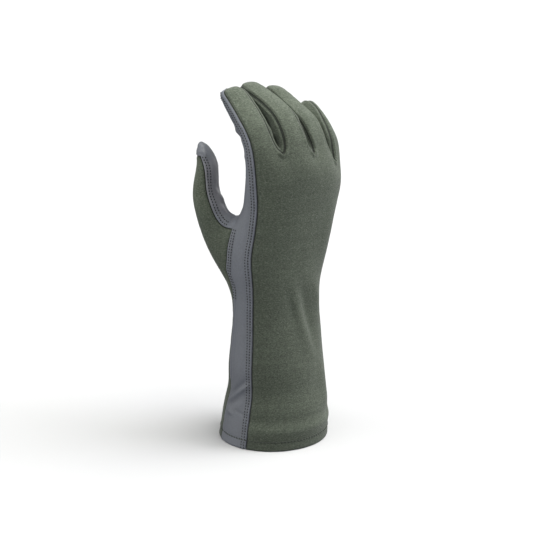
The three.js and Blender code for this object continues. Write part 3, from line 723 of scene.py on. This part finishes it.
SEAM_ROWS = (2.3, 4.7)  # how far from its seam each row of stitches runs
TURNED_IN_BELOW = 124.0  # under this height the gusset's seams are sewn on the inside, and no thread shows
TURNED_IN_FADE = 6.0
STITCH = {"length": 1.45, "pitch": 2.35, "radius": 0.58, "lift": 0.05}
STITCH_END = {"radius": 0.15, "sink": 0.35}  # in shares of the radius
STITCH_RINGS = (-1.0, -0.72, 0.0, 0.72, 1.0)  # in half lengths from a stitch's middle
STITCH_SIDES = 6
HEM_STITCH = {"height": 0.98 * HEM_HEIGHT, "length": 2.4, "pitch": 2.9}
# Painted light on the thumb: its colour is painted paler from one height on, and at its tip less so. Each
# change takes some millimetres.
THUMB_PAINTED_LIGHT = {"from": 188.0, "over": 20.0, "tip": 234.0, "tip_over": 8.0, "tip_less": 0.9}


def shared_edge(piece, other):
    quads = [fine_quads[fine_labels == PIECES.index(name)] for name in (piece, other)]
    return np.intersect1d(*quads)


GUSSET_EDGES = shared_edge("thumb_back", "palm_panel")
WEB_EDGE = shared_edge("thumb_front", "palm_panel")  # leather laid flat on leather, so this seam hardly shows


def crotch_places():
    """The foot of each slit between two fingers, on the back of the hand."""
    for piece in PIECES:
        if piece.startswith("fourchette"):
            edge = fine_vertices[shared_edge(piece, "back_panel")]
            yield edge[np.argmin(edge[:, 2])]


def bell(off):
    """1 in the middle, and less and less on both sides of it."""
    return np.exp(-off * off)


def fold_height(points, piece):
    """How far folds and the loose cloth lift each point of a piece."""
    height = np.zeros(len(points))
    folds = [fold for pieces, rows in FOLDS.items() if piece in pieces for fold in rows]
    for *ends, width, rise in folds:
        start, run = np.array(ends[:3]), np.subtract(ends[3:], ends[:3])
        share = np.clip((points - start) @ run / (run @ run), 0, 1)
        off = np.linalg.norm(points - start - share[:, None] * run, axis=1)
        height += rise * bell(off / width) * np.sin(np.pi * mix(FOLD_END, 1 - FOLD_END, share))
    bands = [HEM_DIP]
    if piece == "back_panel":
        bands += [HEM_RIDGE, HEM_VALLEY]
        for place in crotch_places():
            middle = place + (0, 0, CROTCH_RIMS["up"])
            off = (np.linalg.norm(points - middle, axis=1) - CROTCH_RIMS["radius"]) / CROTCH_RIMS["width"]
            below = np.clip((middle[2] - points[:, 2]) / CROTCH_RIMS["fade"] + 0.5, 0, 1)
            height += CROTCH_RIMS["rise"] * bell(off) * below
    for band in bands:
        height += band["rise"] * bell((points[:, 2] - band["height"]) / band["width"])
    return height


def waves(points, length, seed):
    """Smooth pseudo-random waves from -1 to 1, the same on each run."""
    total = np.zeros(len(points))
    draw = np.random.default_rng(seed)
    for _ in range(7):
        direction = unit(draw.normal(size=3))
        one_length = length * draw.uniform(0.7, 1.4)
        total += np.sin(points @ direction * 2 * np.pi / one_length + draw.uniform(0, 7))
    return total / 3.5


def nearest_of(chosen, points):
    """The number of the chosen point that lies nearest to each point, and how far off it is."""
    tree = KDTree(len(chosen))
    for k in chosen.tolist():
        tree.insert(points[k], k)
    tree.balance()
    hits = [tree.find(point) for point in points]
    return np.array([hit[1] for hit in hits]), np.array([hit[2] for hit in hits])


def add_object(name, data):
    thing = bpy.data.objects.new(name, data)
    bpy.context.scene.collection.objects.link(thing)
    return thing


def add_mesh(name, points, faces, material):
    mesh = bpy.data.meshes.new(name)
    mesh.from_pydata(points, [], faces)
    mesh.materials.append(material)
    return add_object(name, mesh)


def add_sewn(name, points, faces, material):
    """A smooth mesh, from points in millimetres in the glove's own axes."""
    thing = add_mesh(name, ((np.array(points) + SHIFT) * MM).tolist(), faces, material)
    thing.data.shade_smooth()
    return thing


class Panel:
    """One sewn piece: a closed shell with rolled edges, its outer face finer than its inner face."""

    EDGE_STEPS = 4
    HEM_LIP = 0.3  # how far the hem's roll runs on up the inside, in mm
    LONGEST_MITRE = 2.5

    def __init__(self, name):
        self.name = name
        self.leather = name in LEATHER_PIECES
        self.used, local = np.unique(fine_quads[fine_labels == PIECES.index(name)], return_inverse=True)
        self.quads = local.reshape(-1, 4)
        self.base = fine_vertices[self.used]
        self.normals = fine_normals[self.used]
        number = np.full(len(fine_vertices), -1)
        number[self.used] = np.arange(len(self.used))
        self.inner_quads = number[coarse_quads[coarse_labels == PIECES.index(name)]]
        self.find_border()
        self.build()

    def find_border(self):
        sides = quad_sides(self.quads)
        code = sides[:, 0] * len(self.base) + sides[:, 1]
        back = sides[:, 1] * len(self.base) + sides[:, 0]
        self.border = sides[~np.isin(code, back)]
        v, w = self.border.T
        direction = unit(self.base[w] - self.base[v])
        at_hem = np.maximum(self.base[v][:, 2], self.base[w][:, 2]) < FOOT
        count = len(self.base)
        into_seam, into_any = np.zeros((count, 3)), np.zeros((count, 3))
        for end in (v, w):
            into = np.cross(self.normals[end], direction)
            np.add.at(into_any, end, into)
            np.add.at(into_seam, end[~at_hem], into[~at_hem])
        self.on_border = np.unique(self.border)
        self.on_seam = np.unique(self.border[~at_hem])
        self.hem_only = np.setdiff1d(self.on_border, self.on_seam)

        def mitre(vectors):
            length = np.linalg.norm(vectors, axis=1, keepdims=True)
            return unit(vectors) * np.minimum(self.LONGEST_MITRE, 2 / np.maximum(length, 1e-9))

        self.roll = np.zeros((count, 3))
        self.roll[self.on_border] = mitre(into_any[self.on_border])
        self.back_off = np.zeros((count, 3))
        self.back_off[self.on_seam] = mitre(into_seam[self.on_seam]) * SEAM_GAP / 2 * SEAM_CLOSE
        self.on_web = np.isin(self.used, WEB_EDGE)
        self.back_off[self.on_web] *= WEB_CLOSE

    def build(self):
        cloth = "leather" if self.leather else "knit"
        radius = np.zeros(len(self.base))
        radius[self.on_seam] = ROLLED_EDGES[cloth]
        radius[self.on_web] = ROLLED_EDGES["web"]
        radius[self.hem_only] = ROLLED_EDGES["hem"]

        # Each vertex near a border follows the border's set-back, less the further in it is.
        near, distance = nearest_of(self.on_border, self.base)
        near_seam, seam_distance = nearest_of(self.on_seam, self.base)
        by_web = np.isin(self.used[near_seam], WEB_EDGE)
        by_gusset = np.isin(self.used[near_seam], GUSSET_EDGES)
        fade = np.clip(1 - distance / EDGE_REACH, 0, 1) ** 1.5
        set_back = (self.back_off + self.roll * radius[:, None])[near] * fade[:, None]

        height = fold_height(self.base, self.name)
        sunk = np.minimum(height, 0)[:, None]  # the inner face gives way where a fold sinks in
        loose = np.clip(self.base[:, 2] / LOOSE_WAVES["full_from"], 0, 1)
        height += LOOSE_WAVES["rise"] * waves(self.base, LOOSE_WAVES["length"], LOOSE_WAVES["seed"]) * loose
        puff = sum(rise * bell((seam_distance - at) / width) for rise, at, width in SEAM_BANDS[cloth])
        height += np.where(by_web & self.leather, 0, puff)
        rise, length, seed, reach = SEAM_WAVES[cloth]
        height += rise * waves(self.base, length, seed) * bell(seam_distance / reach)
        if self.leather:
            height += LEATHER_RISE
            for gather in GATHERS:
                off = np.linalg.norm(self.base - gather["at"], axis=1) / gather["reach"]
                height += gather["rise"] * waves(self.base, gather["length"], GATHER_SEED) * bell(off)
        self.outer = self.base + set_back + self.normals * height[:, None]

        # The edge rolls over from the outer face, by a quarter turn at a seam and half a turn at the hem.
        border = self.on_border
        base, normal, roll = self.base[border], self.normals[border], self.roll[border]
        off, r = self.back_off[border], radius[border][:, None]
        top = height[border][:, None]
        hem = np.isin(border, self.hem_only)[:, None]
        rings = []
        for k in range(1, self.EDGE_STEPS + 1):
            turn = np.where(hem, 2, 1) * math.pi / 2 * k / self.EDGE_STEPS
            rings.append(base + off + roll * r * (1 - np.sin(turn)) + normal * (top - r + r * np.cos(turn)))
        depth = np.where(base[:, 2:3] < FOOT, WALL + HEM_TURN, WALL)
        inside = base + off + normal * (sunk[border] - depth)
        rings.append(np.where(hem, rings[-1] + roll * self.HEM_LIP, inside))

        # The inner face lies a wall's thickness in, and more where the hem is turned up.
        turned = HEM_TURN * np.clip((1.25 * HEM_HEIGHT - self.base[:, 2]) / (0.25 * HEM_HEIGHT), 0, 1)
        inner = self.base + set_back * INNER_FOLLOWS + self.normals * (sunk - (WALL + turned)[:, None])
        inner_free = np.setdiff1d(self.inner_quads, border)
        self.points = np.concatenate([self.outer] + rings + [inner[inner_free]])

        count = len(self.base)
        place = np.full(count, -1)
        place[border] = np.arange(len(border))
        levels = [np.arange(count)] + [count + k * len(border) + place for k in range(len(rings))]
        inner_number = levels[-1].copy()
        inner_number[inner_free] = count + len(rings) * len(border) + np.arange(len(inner_free))
        self.faces = self.quads.tolist()
        v, w = self.border.T
        for lower, upper in zip(levels, levels[1:]):
            self.faces += np.stack([lower[w], lower[v], upper[v], upper[w]], axis=1).tolist()

        # A coarse side on the border takes in the fine vertex at its middle, which closes the shell.
        after = dict(self.border.tolist())
        middle = {(v, after.get(w)): w for v, w in self.border.tolist()}
        for quad in self.inner_quads.tolist():
            ring = []
            for v, w in zip(quad, quad[1:] + quad[:1]):
                ring += [v, middle[v, w]] if (v, w) in middle else [v]
            self.faces.append(inner_number[ring[::-1]].tolist())

        def outside(values, rest):
            """Values for the outer face, with one number for the other points."""
            return np.concatenate([values, np.full(len(self.points) - count, rest)])

        below = np.clip((TURNED_IN_BELOW - self.base[:, 2]) / TURNED_IN_FADE, 0, 1)
        z = self.points[:, 2]
        # painted light on the thumb, by height
        tone = np.clip((z - THUMB_PAINTED_LIGHT["from"]) / THUMB_PAINTED_LIGHT["over"], 0, 1)
        tone -= THUMB_PAINTED_LIGHT["tip_less"] * np.clip((z - THUMB_PAINTED_LIGHT["tip"]) / THUMB_PAINTED_LIGHT["tip_over"], 0, 1)
        self.fields = {
            "seam_distance": outside(seam_distance, 0.0),
            "topstitched": outside(1 - np.maximum(below * by_gusset, by_web), 1.0),
            "tone": tone * self.name.startswith("thumb"),
        }

    def make_object(self, material):
        thing = add_sewn("glove_" + self.name, self.points, self.faces, material)
        for label, values in self.fields.items():
            thing.data.attributes.new(label, "FLOAT", "POINT").data.foreach_set("value", values)
        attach(thing, "root")
        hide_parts(self.name)


def rgba(value):
    """A colour and its alpha, from three numbers or from one for a grey. A socket stays as it is."""
    if isinstance(value, bpy.types.NodeSocket):
        return value
    return (*value, 1) if isinstance(value, tuple) else (value, value, value, 1)


class Nodes:
    """Short names for building a node material."""

    def __init__(self, name):
        self.material = bpy.data.materials.new(name)
        self.material.use_nodes = True
        self.tree = self.material.node_tree

    def put(self, node, inputs):
        for key, value in inputs.items():
            if isinstance(value, bpy.types.NodeSocket):
                self.tree.links.new(value, node.inputs[key])
            else:
                node.inputs[key].default_value = value

    def add(self, kind, inputs=(), **settings):
        node = self.tree.nodes.new(kind)
        for key, value in settings.items():
            setattr(node, key, value)
        self.put(node, dict(inputs))
        return node

    def place(self):
        return self.add("ShaderNodeTexCoord").outputs["Object"]

    def field(self, name):
        """One of the numbers that the panels' points carry."""
        return self.add("ShaderNodeAttribute", attribute_name=name).outputs["Fac"]

    def noise(self, vector, scale, detail, roughness):
        inputs = {"Vector": vector, "Scale": scale, "Detail": detail, "Roughness": roughness}
        return self.add("ShaderNodeTexNoise", inputs).outputs["Fac"]

    def ramp(self, fac, *stops):
        """A colour ramp. Each stop is a place with a colour, or with one number for a grey."""
        node = self.add("ShaderNodeValToRGB", {"Fac": fac})
        elements = node.color_ramp.elements
        elements[0].position, elements[1].position = stops[0][0], stops[-1][0]
        for stop in stops[1:-1]:
            elements.new(stop[0])
        for element, (_, colour) in zip(elements, stops):
            element.color = rgba(colour)
        return node.outputs["Color"]

    def by_height(self, *stops):
        """A ramp over three times the height above the hem in metres."""
        height = self.add("ShaderNodeSeparateXYZ", {"Vector": self.place()}).outputs["Z"]
        return self.ramp(self.math("MULTIPLY", height, 3.0), *stops)

    def mix(self, fac, a, b, mode="MIX"):
        inputs = {0: fac, 6: rgba(a), 7: rgba(b)}
        return self.add("ShaderNodeMix", inputs, data_type="RGBA", blend_type=mode).outputs[2]

    def times(self, colour, factor):
        return self.mix(1.0, colour, factor, "MULTIPLY")

    def math(self, operation, a, b):
        return self.add("ShaderNodeMath", {0: a, 1: b}, operation=operation).outputs[0]

    def bump(self, height, distance, strength, **normal):
        inputs = {"Height": height, "Distance": distance, "Strength": strength, **normal}
        return self.add("ShaderNodeBump", inputs).outputs["Normal"]

    def finish(self, **sockets):
        inputs = {key.replace("_", " "): value for key, value in sockets.items()}
        self.put(self.tree.nodes["Principled BSDF"], inputs)
        return self.material


KNIT_GREENS = ((0.32, (0.038, 0.046, 0.034)), (0.5, (0.060, 0.071, 0.053)), (0.68, (0.097, 0.111, 0.085)))
PALE_FIBRE = (0.17, 0.187, 0.15)
DARK_FIBRE = (0.024, 0.03, 0.022)
# Painted light: the thumb's knit is coloured paler than the rest.
THUMB_KNIT_PAINTED_LIGHT = (1.14, 1.13, 1.1)
# Painted light and shade on the knit, over three times the height in metres: darkest at the hem, lighter on
# the hem's ridge and lightest at the fingertips
KNIT_PAINTED_LIGHT_BY_HEIGHT = [(0.012, 0.64), (0.027, 0.67), (0.045, 0.84), (0.06, 0.86), (0.085, 0.74), (0.15, 0.76)]
KNIT_PAINTED_LIGHT_BY_HEIGHT += [(0.27, 0.77), (0.5, 0.86), (0.66, 0.9), (0.76, 0.79), (0.84, 1.0)]
# Painted shade: the knit is darker close to each seam, as in the shadow of the leather's edge.
KNIT_SEAM_SHADE = ((0.06, 0.3), (0.2, 0.9), (0.6, 1.0))  # over a quarter of the distance in mm

PALM_GREYS = ((0.3, (0.078, 0.085, 0.101)), (0.7, (0.099, 0.107, 0.126)))
# Painted light: the thumb's leather greys are paler than the palm's.
THUMB_GREYS_PAINTED_LIGHT = ((0.25, (0.130, 0.132, 0.144)), (0.75, (0.190, 0.192, 0.206)))
LEATHER_BY_HEIGHT = ((0.05, 0.82), (0.25, 0.9), (0.5, 1.0))
# The leather's cut edge is painted pale, partly as rubbed wear and partly as a painted highlight on its
# raised roll, and each stitch row lies in a dark line of painted shade.
PLAIN, RUBBED_AND_HIGHLIT, GROOVE_SHADE = 0.86, 1.0, 0.74
SEAM_SPAN = 8.0  # how far from the seam, in mm, the ramp of these reaches
GROOVE_SHADE_REACH = 0.055


def knit_material():
    n = Nodes("knit")
    place = n.place()

    def stretched(x, z):
        return n.add("ShaderNodeMapping", {"Vector": place, "Scale": (x, x, z)}).outputs[0]

    fibre = n.noise(stretched(0.6, 1.3), 1000, 4.0, 0.7)
    fleck = n.noise(place, 1500, 1.0, 0.5)
    pit = n.noise(stretched(0.7, 1.1), 1700, 1.0, 0.5)
    course = n.noise(stretched(0.05, 1.0), 420, 2.0, 0.5)
    wale = n.noise(stretched(1.0, 0.03), 330, 2.0, 0.5)
    colour = n.ramp(fibre, *KNIT_GREENS)
    colour = n.mix(n.math("MULTIPLY", n.ramp(fleck, (0.60, 0), (0.72, 1)), 0.4), colour, PALE_FIBRE)
    colour = n.mix(n.math("MULTIPLY", n.ramp(pit, (0.28, 1), (0.38, 0)), 0.3), colour, DARK_FIBRE)
    colour = n.times(colour, n.ramp(course, (0.35, 0.9), (0.65, 1)))
    colour = n.times(colour, n.ramp(wale, (0.35, 0.94), (0.65, 1)))
    # Painted shade beside each seam.
    colour = n.times(colour, n.ramp(n.math("DIVIDE", n.field("seam_distance"), 4.0), *KNIT_SEAM_SHADE))
    # Painted light and shade by height on the knit; on the thumb a paler painted-light factor takes its
    # place.
    colour = n.times(colour, n.mix(n.field("tone"), n.by_height(*KNIT_PAINTED_LIGHT_BY_HEIGHT), THUMB_KNIT_PAINTED_LIGHT))
    relief = n.math("ADD", n.math("MULTIPLY", fibre, 0.8), n.math("MULTIPLY", course, 0.5))
    return n.finish(
        Base_Color=colour,
        Roughness=n.ramp(fibre, (0.3, 0.98), (0.7, 0.86)),
        Normal=n.bump(relief, 0.0004, 0.75),
        Sheen_Weight=0.07,
        Sheen_Roughness=0.5,
        Specular_IOR_Level=0.15,
    )


def leather_material():
    n = Nodes("leather")
    place = n.place()
    patch = n.noise(place, 45, 4.0, 0.6)
    fine = n.noise(place, 700, 3.0, 0.6)
    palm = n.times(n.ramp(patch, *PALM_GREYS), n.by_height(*LEATHER_BY_HEIGHT))
    # Painted light: the thumb's leather is coloured paler.
    colour = n.mix(n.field("tone"), palm, n.ramp(patch, *THUMB_GREYS_PAINTED_LIGHT))
    colour = n.times(colour, n.ramp(fine, (0.35, 0.84), (0.65, 1)))
    # Pale edge of rubbed wear and painted highlight, and painted shade along each stitch row's groove; the
    # same ramp also dents the grooves by bump.
    stops = [(0.0, RUBBED_AND_HIGHLIT), (0.10, RUBBED_AND_HIGHLIT), (0.17, PLAIN)]
    for row in SEAM_ROWS:
        at = row / SEAM_SPAN
        stops += [(at - GROOVE_SHADE_REACH, PLAIN), (at, GROOVE_SHADE), (at + GROOVE_SHADE_REACH, PLAIN)]
    rows = n.ramp(n.math("DIVIDE", n.field("seam_distance"), SEAM_SPAN), *stops)
    rows = n.mix(n.field("topstitched"), PLAIN, rows)
    grain = n.add("ShaderNodeTexVoronoi", {"Vector": place, "Scale": 900.0}).outputs["Distance"]
    skin = n.math("ADD", n.math("MULTIPLY", grain, 0.5), n.math("MULTIPLY", fine, 0.6))
    return n.finish(
        Base_Color=n.times(colour, rows),
        Roughness=n.ramp(patch, (0.3, 0.52), (0.7, 0.66)),
        Normal=n.bump(rows, 0.0012, 0.5, Normal=n.bump(skin, 0.00022, 0.45)),
    )


def thread_material(name, colour):
    n = Nodes(name)
    twist = n.noise(n.place(), 2500, 1.0, 0.5)
    dark = tuple(c * 0.6 for c in colour)
    return n.finish(Base_Color=n.ramp(twist, (0.35, dark), (0.65, colour)), Roughness=0.8)


KNIT = knit_material()
LEATHER = leather_material()
SEAM_THREAD = thread_material("seam_thread", (0.009, 0.011, 0.011))
HEM_THREAD = thread_material("hem_thread", (0.014, 0.019, 0.012))

panels = {name: Panel(name) for name in PIECES}
for name, panel in panels.items():
    panel.make_object(LEATHER if panel.leather else KNIT)


# Stitch rows. Each line is traced beside a seam, at a fixed distance on the leather, from the cage's rows.


def spline(points, pitch):
    """Evenly spaced points on a smooth curve through the given ones."""
    points = np.array(points)
    padded = np.concatenate([[2 * points[0] - points[1]], points, [2 * points[-1] - points[-2]]])
    curve = []
    for k in range(1, len(padded) - 2):
        p, q, r, s = padded[k - 1 : k + 3]
        square, cube = 2 * p - 5 * q + 4 * r - s, 3 * q - p - 3 * r + s
        for t in np.linspace(0, 1, 12, endpoint=False):
            curve.append(0.5 * (2 * q + (r - p) * t + square * t**2 + cube * t**3))
    curve.append(points[-1])
    curve = np.array(curve)
    total = lengths_along(curve)[-1]
    count = max(2, int(total / pitch))
    return walk(curve, total * (np.arange(count) + 0.5) / count)


class Surface:
    """The outer face of some panels, to lay thread on."""

    def __init__(self, names):
        points, faces, start = [], [], 0
        for name in names:
            panel = panels[name]
            points.append(panel.outer)
            faces += (panel.quads + start).tolist()
            start += len(panel.outer)
        self.tree = BVHTree.FromPolygons(np.concatenate(points).tolist(), faces)

    def on(self, point):
        place, normal, _, _ = self.tree.find_nearest(Vector(point))
        return np.array(place), np.array(normal)


def stitch_row(line, surface, length):
    """Vertices and faces of a row of stitches that follow a line on a surface."""
    radius, sides, last = STITCH["radius"], STITCH_SIDES, len(STITCH_RINGS) - 1
    spots = [surface.on(p) for p in line]
    vertices, faces = [], []
    for k, (place, normal) in enumerate(spots):
        before, after = spots[max(0, k - 1)][0], spots[min(len(spots) - 1, k + 1)][0]
        forward = unit(after - before)
        side = unit(np.cross(forward, normal))
        start = len(vertices)
        for ring in STITCH_RINGS:
            girth = radius * (1 - abs(ring) ** 3) ** 0.5 if abs(ring) < 1 else radius * STITCH_END["radius"]
            lift = STITCH["lift"] - STITCH_END["sink"] * radius * ring * ring
            for i in range(sides):
                turn = 2 * math.pi * i / sides
                across = side * math.cos(turn) * girth + normal * (math.sin(turn) * girth + lift)
                vertices.append(place + forward * ring * length / 2 + across)
        for j in range(last):
            for i in range(sides):
                a, b = start + j * sides + i, start + j * sides + (i + 1) % sides
                faces.append((a, b, b + sides, a + sides))
        faces.append(tuple(start + i for i in reversed(range(sides))))
        faces.append(tuple(start + last * sides + i for i in range(sides)))
    return vertices, faces


def thread_object(name, rows, material):
    vertices, faces = [], []
    for row_vertices, row_faces in rows:
        start = len(vertices)
        vertices += row_vertices
        faces += [tuple(i + start for i in face) for face in row_faces]
    thing = add_sewn(name, vertices, faces, material)
    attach(thing, "root")


def seam_lines(rings, first, step, count=4):
    """From each ring of the cage, the vertices that run from the seam onto the leather."""
    return [[ring[(first + step * k) % len(ring)] for k in range(count + 1)] for ring in rings]


def sewn_outside(lines):
    return [line for line in lines if cage.vertices[line[0]][2] > TURNED_IN_BELOW]


def seam_stitches(seams, distances=SEAM_ROWS):
    """Rows of stitches on the leather, at these distances from each seam."""
    for lines in seams:
        for distance in distances:
            line = spline([walk(cage.vertices[vertices], distance) for vertices in lines], STITCH["pitch"])
            yield stitch_row(line, leather_face, STITCH["length"])


def hem_line():
    share = HEM_STITCH["height"] / HEM_HEIGHT
    foot, above = (cage.vertices[cage.grid[row] + cage.grid[row][:1]] for row in (0, 1))
    return mix(foot, above, share)


leather_face = Surface(LEATHER_PIECES)
whole_face = Surface(PIECES)
hand = cage.grid[:ROWS]
by_gusset = cage.grid[: SEAT_START + SEAT_ROWS]
thumb = cage.thumb_rings[1:-1]
fingers = [rings[1:-1] for rings in cage.finger_rings]
SEAMS = {
    # the leather strip against the knit back, from the hem to the index fingertip
    "stitches_strip_seam": [seam_lines(hand, 0, -1) + seam_lines(fingers[0], 0, -1)],
    # the strip and the palm against the thumb's gusset, up to the thumb's web
    "stitches_gusset_seam": [sewn_outside(seam_lines(by_gusset, PALM_END, 1))],
    "stitches_gusset_palm_seam": [sewn_outside(seam_lines(by_gusset, SEAT_LEFT, -1))],
    # the thumb's front against its back, on both sides
    "stitches_thumb_seams": [seam_lines(thumb, edge, step, 3) for edge, step in zip(THUMB_FRONT, (1, -1))],
    # the palm against the back, from the hem to the little fingertip
    "stitches_side_seam": [seam_lines(hand, ULNAR_SEAM, 1) + seam_lines(fingers[3], LITTLE_SEAM, 1)],
}
for name, seams in SEAMS.items():
    thread_object(name, seam_stitches(seams), SEAM_THREAD)

# The finger fronts against the fourchettes have one row each.
fronts = [seam_lines(rings, PER_FINGER + SIDE, 1, 2) for rings in fingers[:-1]]
fronts += [seam_lines(rings, 2 * PER_FINGER + SIDE, -1, 2) for rings in fingers[1:]]
thread_object("stitches_finger_fronts", seam_stitches(fronts, SEAM_ROWS[:1]), SEAM_THREAD)
hem_row = stitch_row(spline(hem_line(), HEM_STITCH["pitch"]), whole_face, HEM_STITCH["length"])
thread_object("stitches_hem", [hem_row], HEM_THREAD)


# The studio, in metres: a pale floor that reaches beyond the view, a white wall round it and soft light.
FLOOR_HALF = 6.0
FLOOR_COLOUR = (0.346, 0.346, 0.352, 1)
BACKDROP = {"radius": 5.9, "sides": 72, "heights": (-0.01, 3.0)}
SKY = {"Color": (0.96, 0.98, 1.06, 1), "Strength": 0.4}
# azimuth and elevation say where a light stands, with 0 in front of the back of the hand. spread softens it.
LIGHT_COLUMNS = ("name", "azimuth", "elevation", "spread", "strength", "colour")
LIGHTS = [
    ("top", 52.0, 72.0, 50.0, 5.9, (1.0, 1.0, 0.94)),
    ("side", 52.0, 36.0, 34.0, 2.7, (0.98, 0.98, 1.04)),
    ("inside", 82.0, 12.0, 30.0, 1.3, (1.0, 0.99, 0.99)),
    ("left", -118.0, 18.0, 80.0, 2.5, (1.0, 1.0, 0.95)),
    ("front", -48.0, 5.0, 60.0, 1.3, (1.0, 1.0, 1.0)),
]


def make_floor():
    corners = [(x * FLOOR_HALF, y * FLOOR_HALF, 0) for x, y in ((-1, -1), (1, -1), (1, 1), (-1, 1))]
    paint = Nodes("floor").finish(Base_Color=FLOOR_COLOUR, Roughness=1.0, Specular_IOR_Level=0.0)
    floor = add_mesh("floor", corners, [(0, 1, 2, 3)], paint)
    floor.visible_diffuse = False
    floor.visible_glossy = False


def make_backdrop():
    """A white wall all round, seen only from low angles. It gives the glove no light and takes none away."""
    sides, radius = BACKDROP["sides"], BACKDROP["radius"]
    turns = [2 * math.pi * k / sides for k in range(sides)]
    points = [(radius * math.cos(t), radius * math.sin(t), z) for z in BACKDROP["heights"] for t in turns]
    faces = [(k, (k + 1) % sides, sides + (k + 1) % sides, sides + k) for k in range(sides)]
    glow = {"Emission_Color": (1, 1, 1, 1), "Emission_Strength": 1.0}
    paint = Nodes("backdrop").finish(Base_Color=(0, 0, 0, 1), Roughness=1.0, **glow)
    wall = add_mesh("backdrop", points, faces, paint)
    wall.visible_diffuse = False
    wall.visible_glossy = False
    wall.visible_shadow = False


def make_lights():
    """Far soft lights, and a little light from all round."""
    world = bpy.data.worlds.new("studio")
    world.use_nodes = True
    for key, value in SKY.items():
        world.node_tree.nodes["Background"].inputs[key].default_value = value
    bpy.context.scene.world = world
    for row in as_rows(LIGHT_COLUMNS, LIGHTS):
        azimuth, elevation = math.radians(row["azimuth"]), math.radians(row["elevation"])
        light = bpy.data.lights.new(row["name"], "SUN")
        light.angle = math.radians(row["spread"])
        light.energy = row["strength"]
        light.color = row["colour"]
        level = math.cos(elevation)
        toward = Vector((math.sin(azimuth) * level, -math.cos(azimuth) * level, math.sin(elevation)))
        add_object(row["name"], light).rotation_euler = toward.to_track_quat("Z", "Y").to_euler()


# The camera stands as far off and as high as the photograph's did. The angles are from the glove's middle.
CAMERA = {"azimuth": -38.0, "elevation": 15.0, "distance": 1160.0, "focal_px": 1386.0, "image_px": 533.0}
CAMERA_TARGET = {"right": -5.97, "up": 147.6}


def make_camera():
    azimuth, elevation = math.radians(CAMERA["azimuth"]), math.radians(CAMERA["elevation"])
    right = np.array([math.cos(azimuth), math.sin(azimuth), 0])
    away = np.array([-math.sin(azimuth), math.cos(azimuth), 0])
    target = right * CAMERA_TARGET["right"] + np.array([0, 0, CAMERA_TARGET["up"]]) + SHIFT
    forward = away * math.cos(elevation) - np.array([0, 0, math.sin(elevation)])
    camera = bpy.data.cameras.new("camera")
    camera.sensor_width = 36.0
    camera.lens = camera.sensor_width * CAMERA["focal_px"] / CAMERA["image_px"]
    thing = add_object("camera", camera)
    thing.location = Vector((target - forward * CAMERA["distance"]) * MM)
    thing.rotation_euler = Vector(forward).to_track_quat("-Z", "Y").to_euler()
    bpy.context.scene.camera = thing


make_floor()
make_backdrop()
make_lights()
make_camera()
bpy.context.scene.view_settings.view_transform = "Standard"
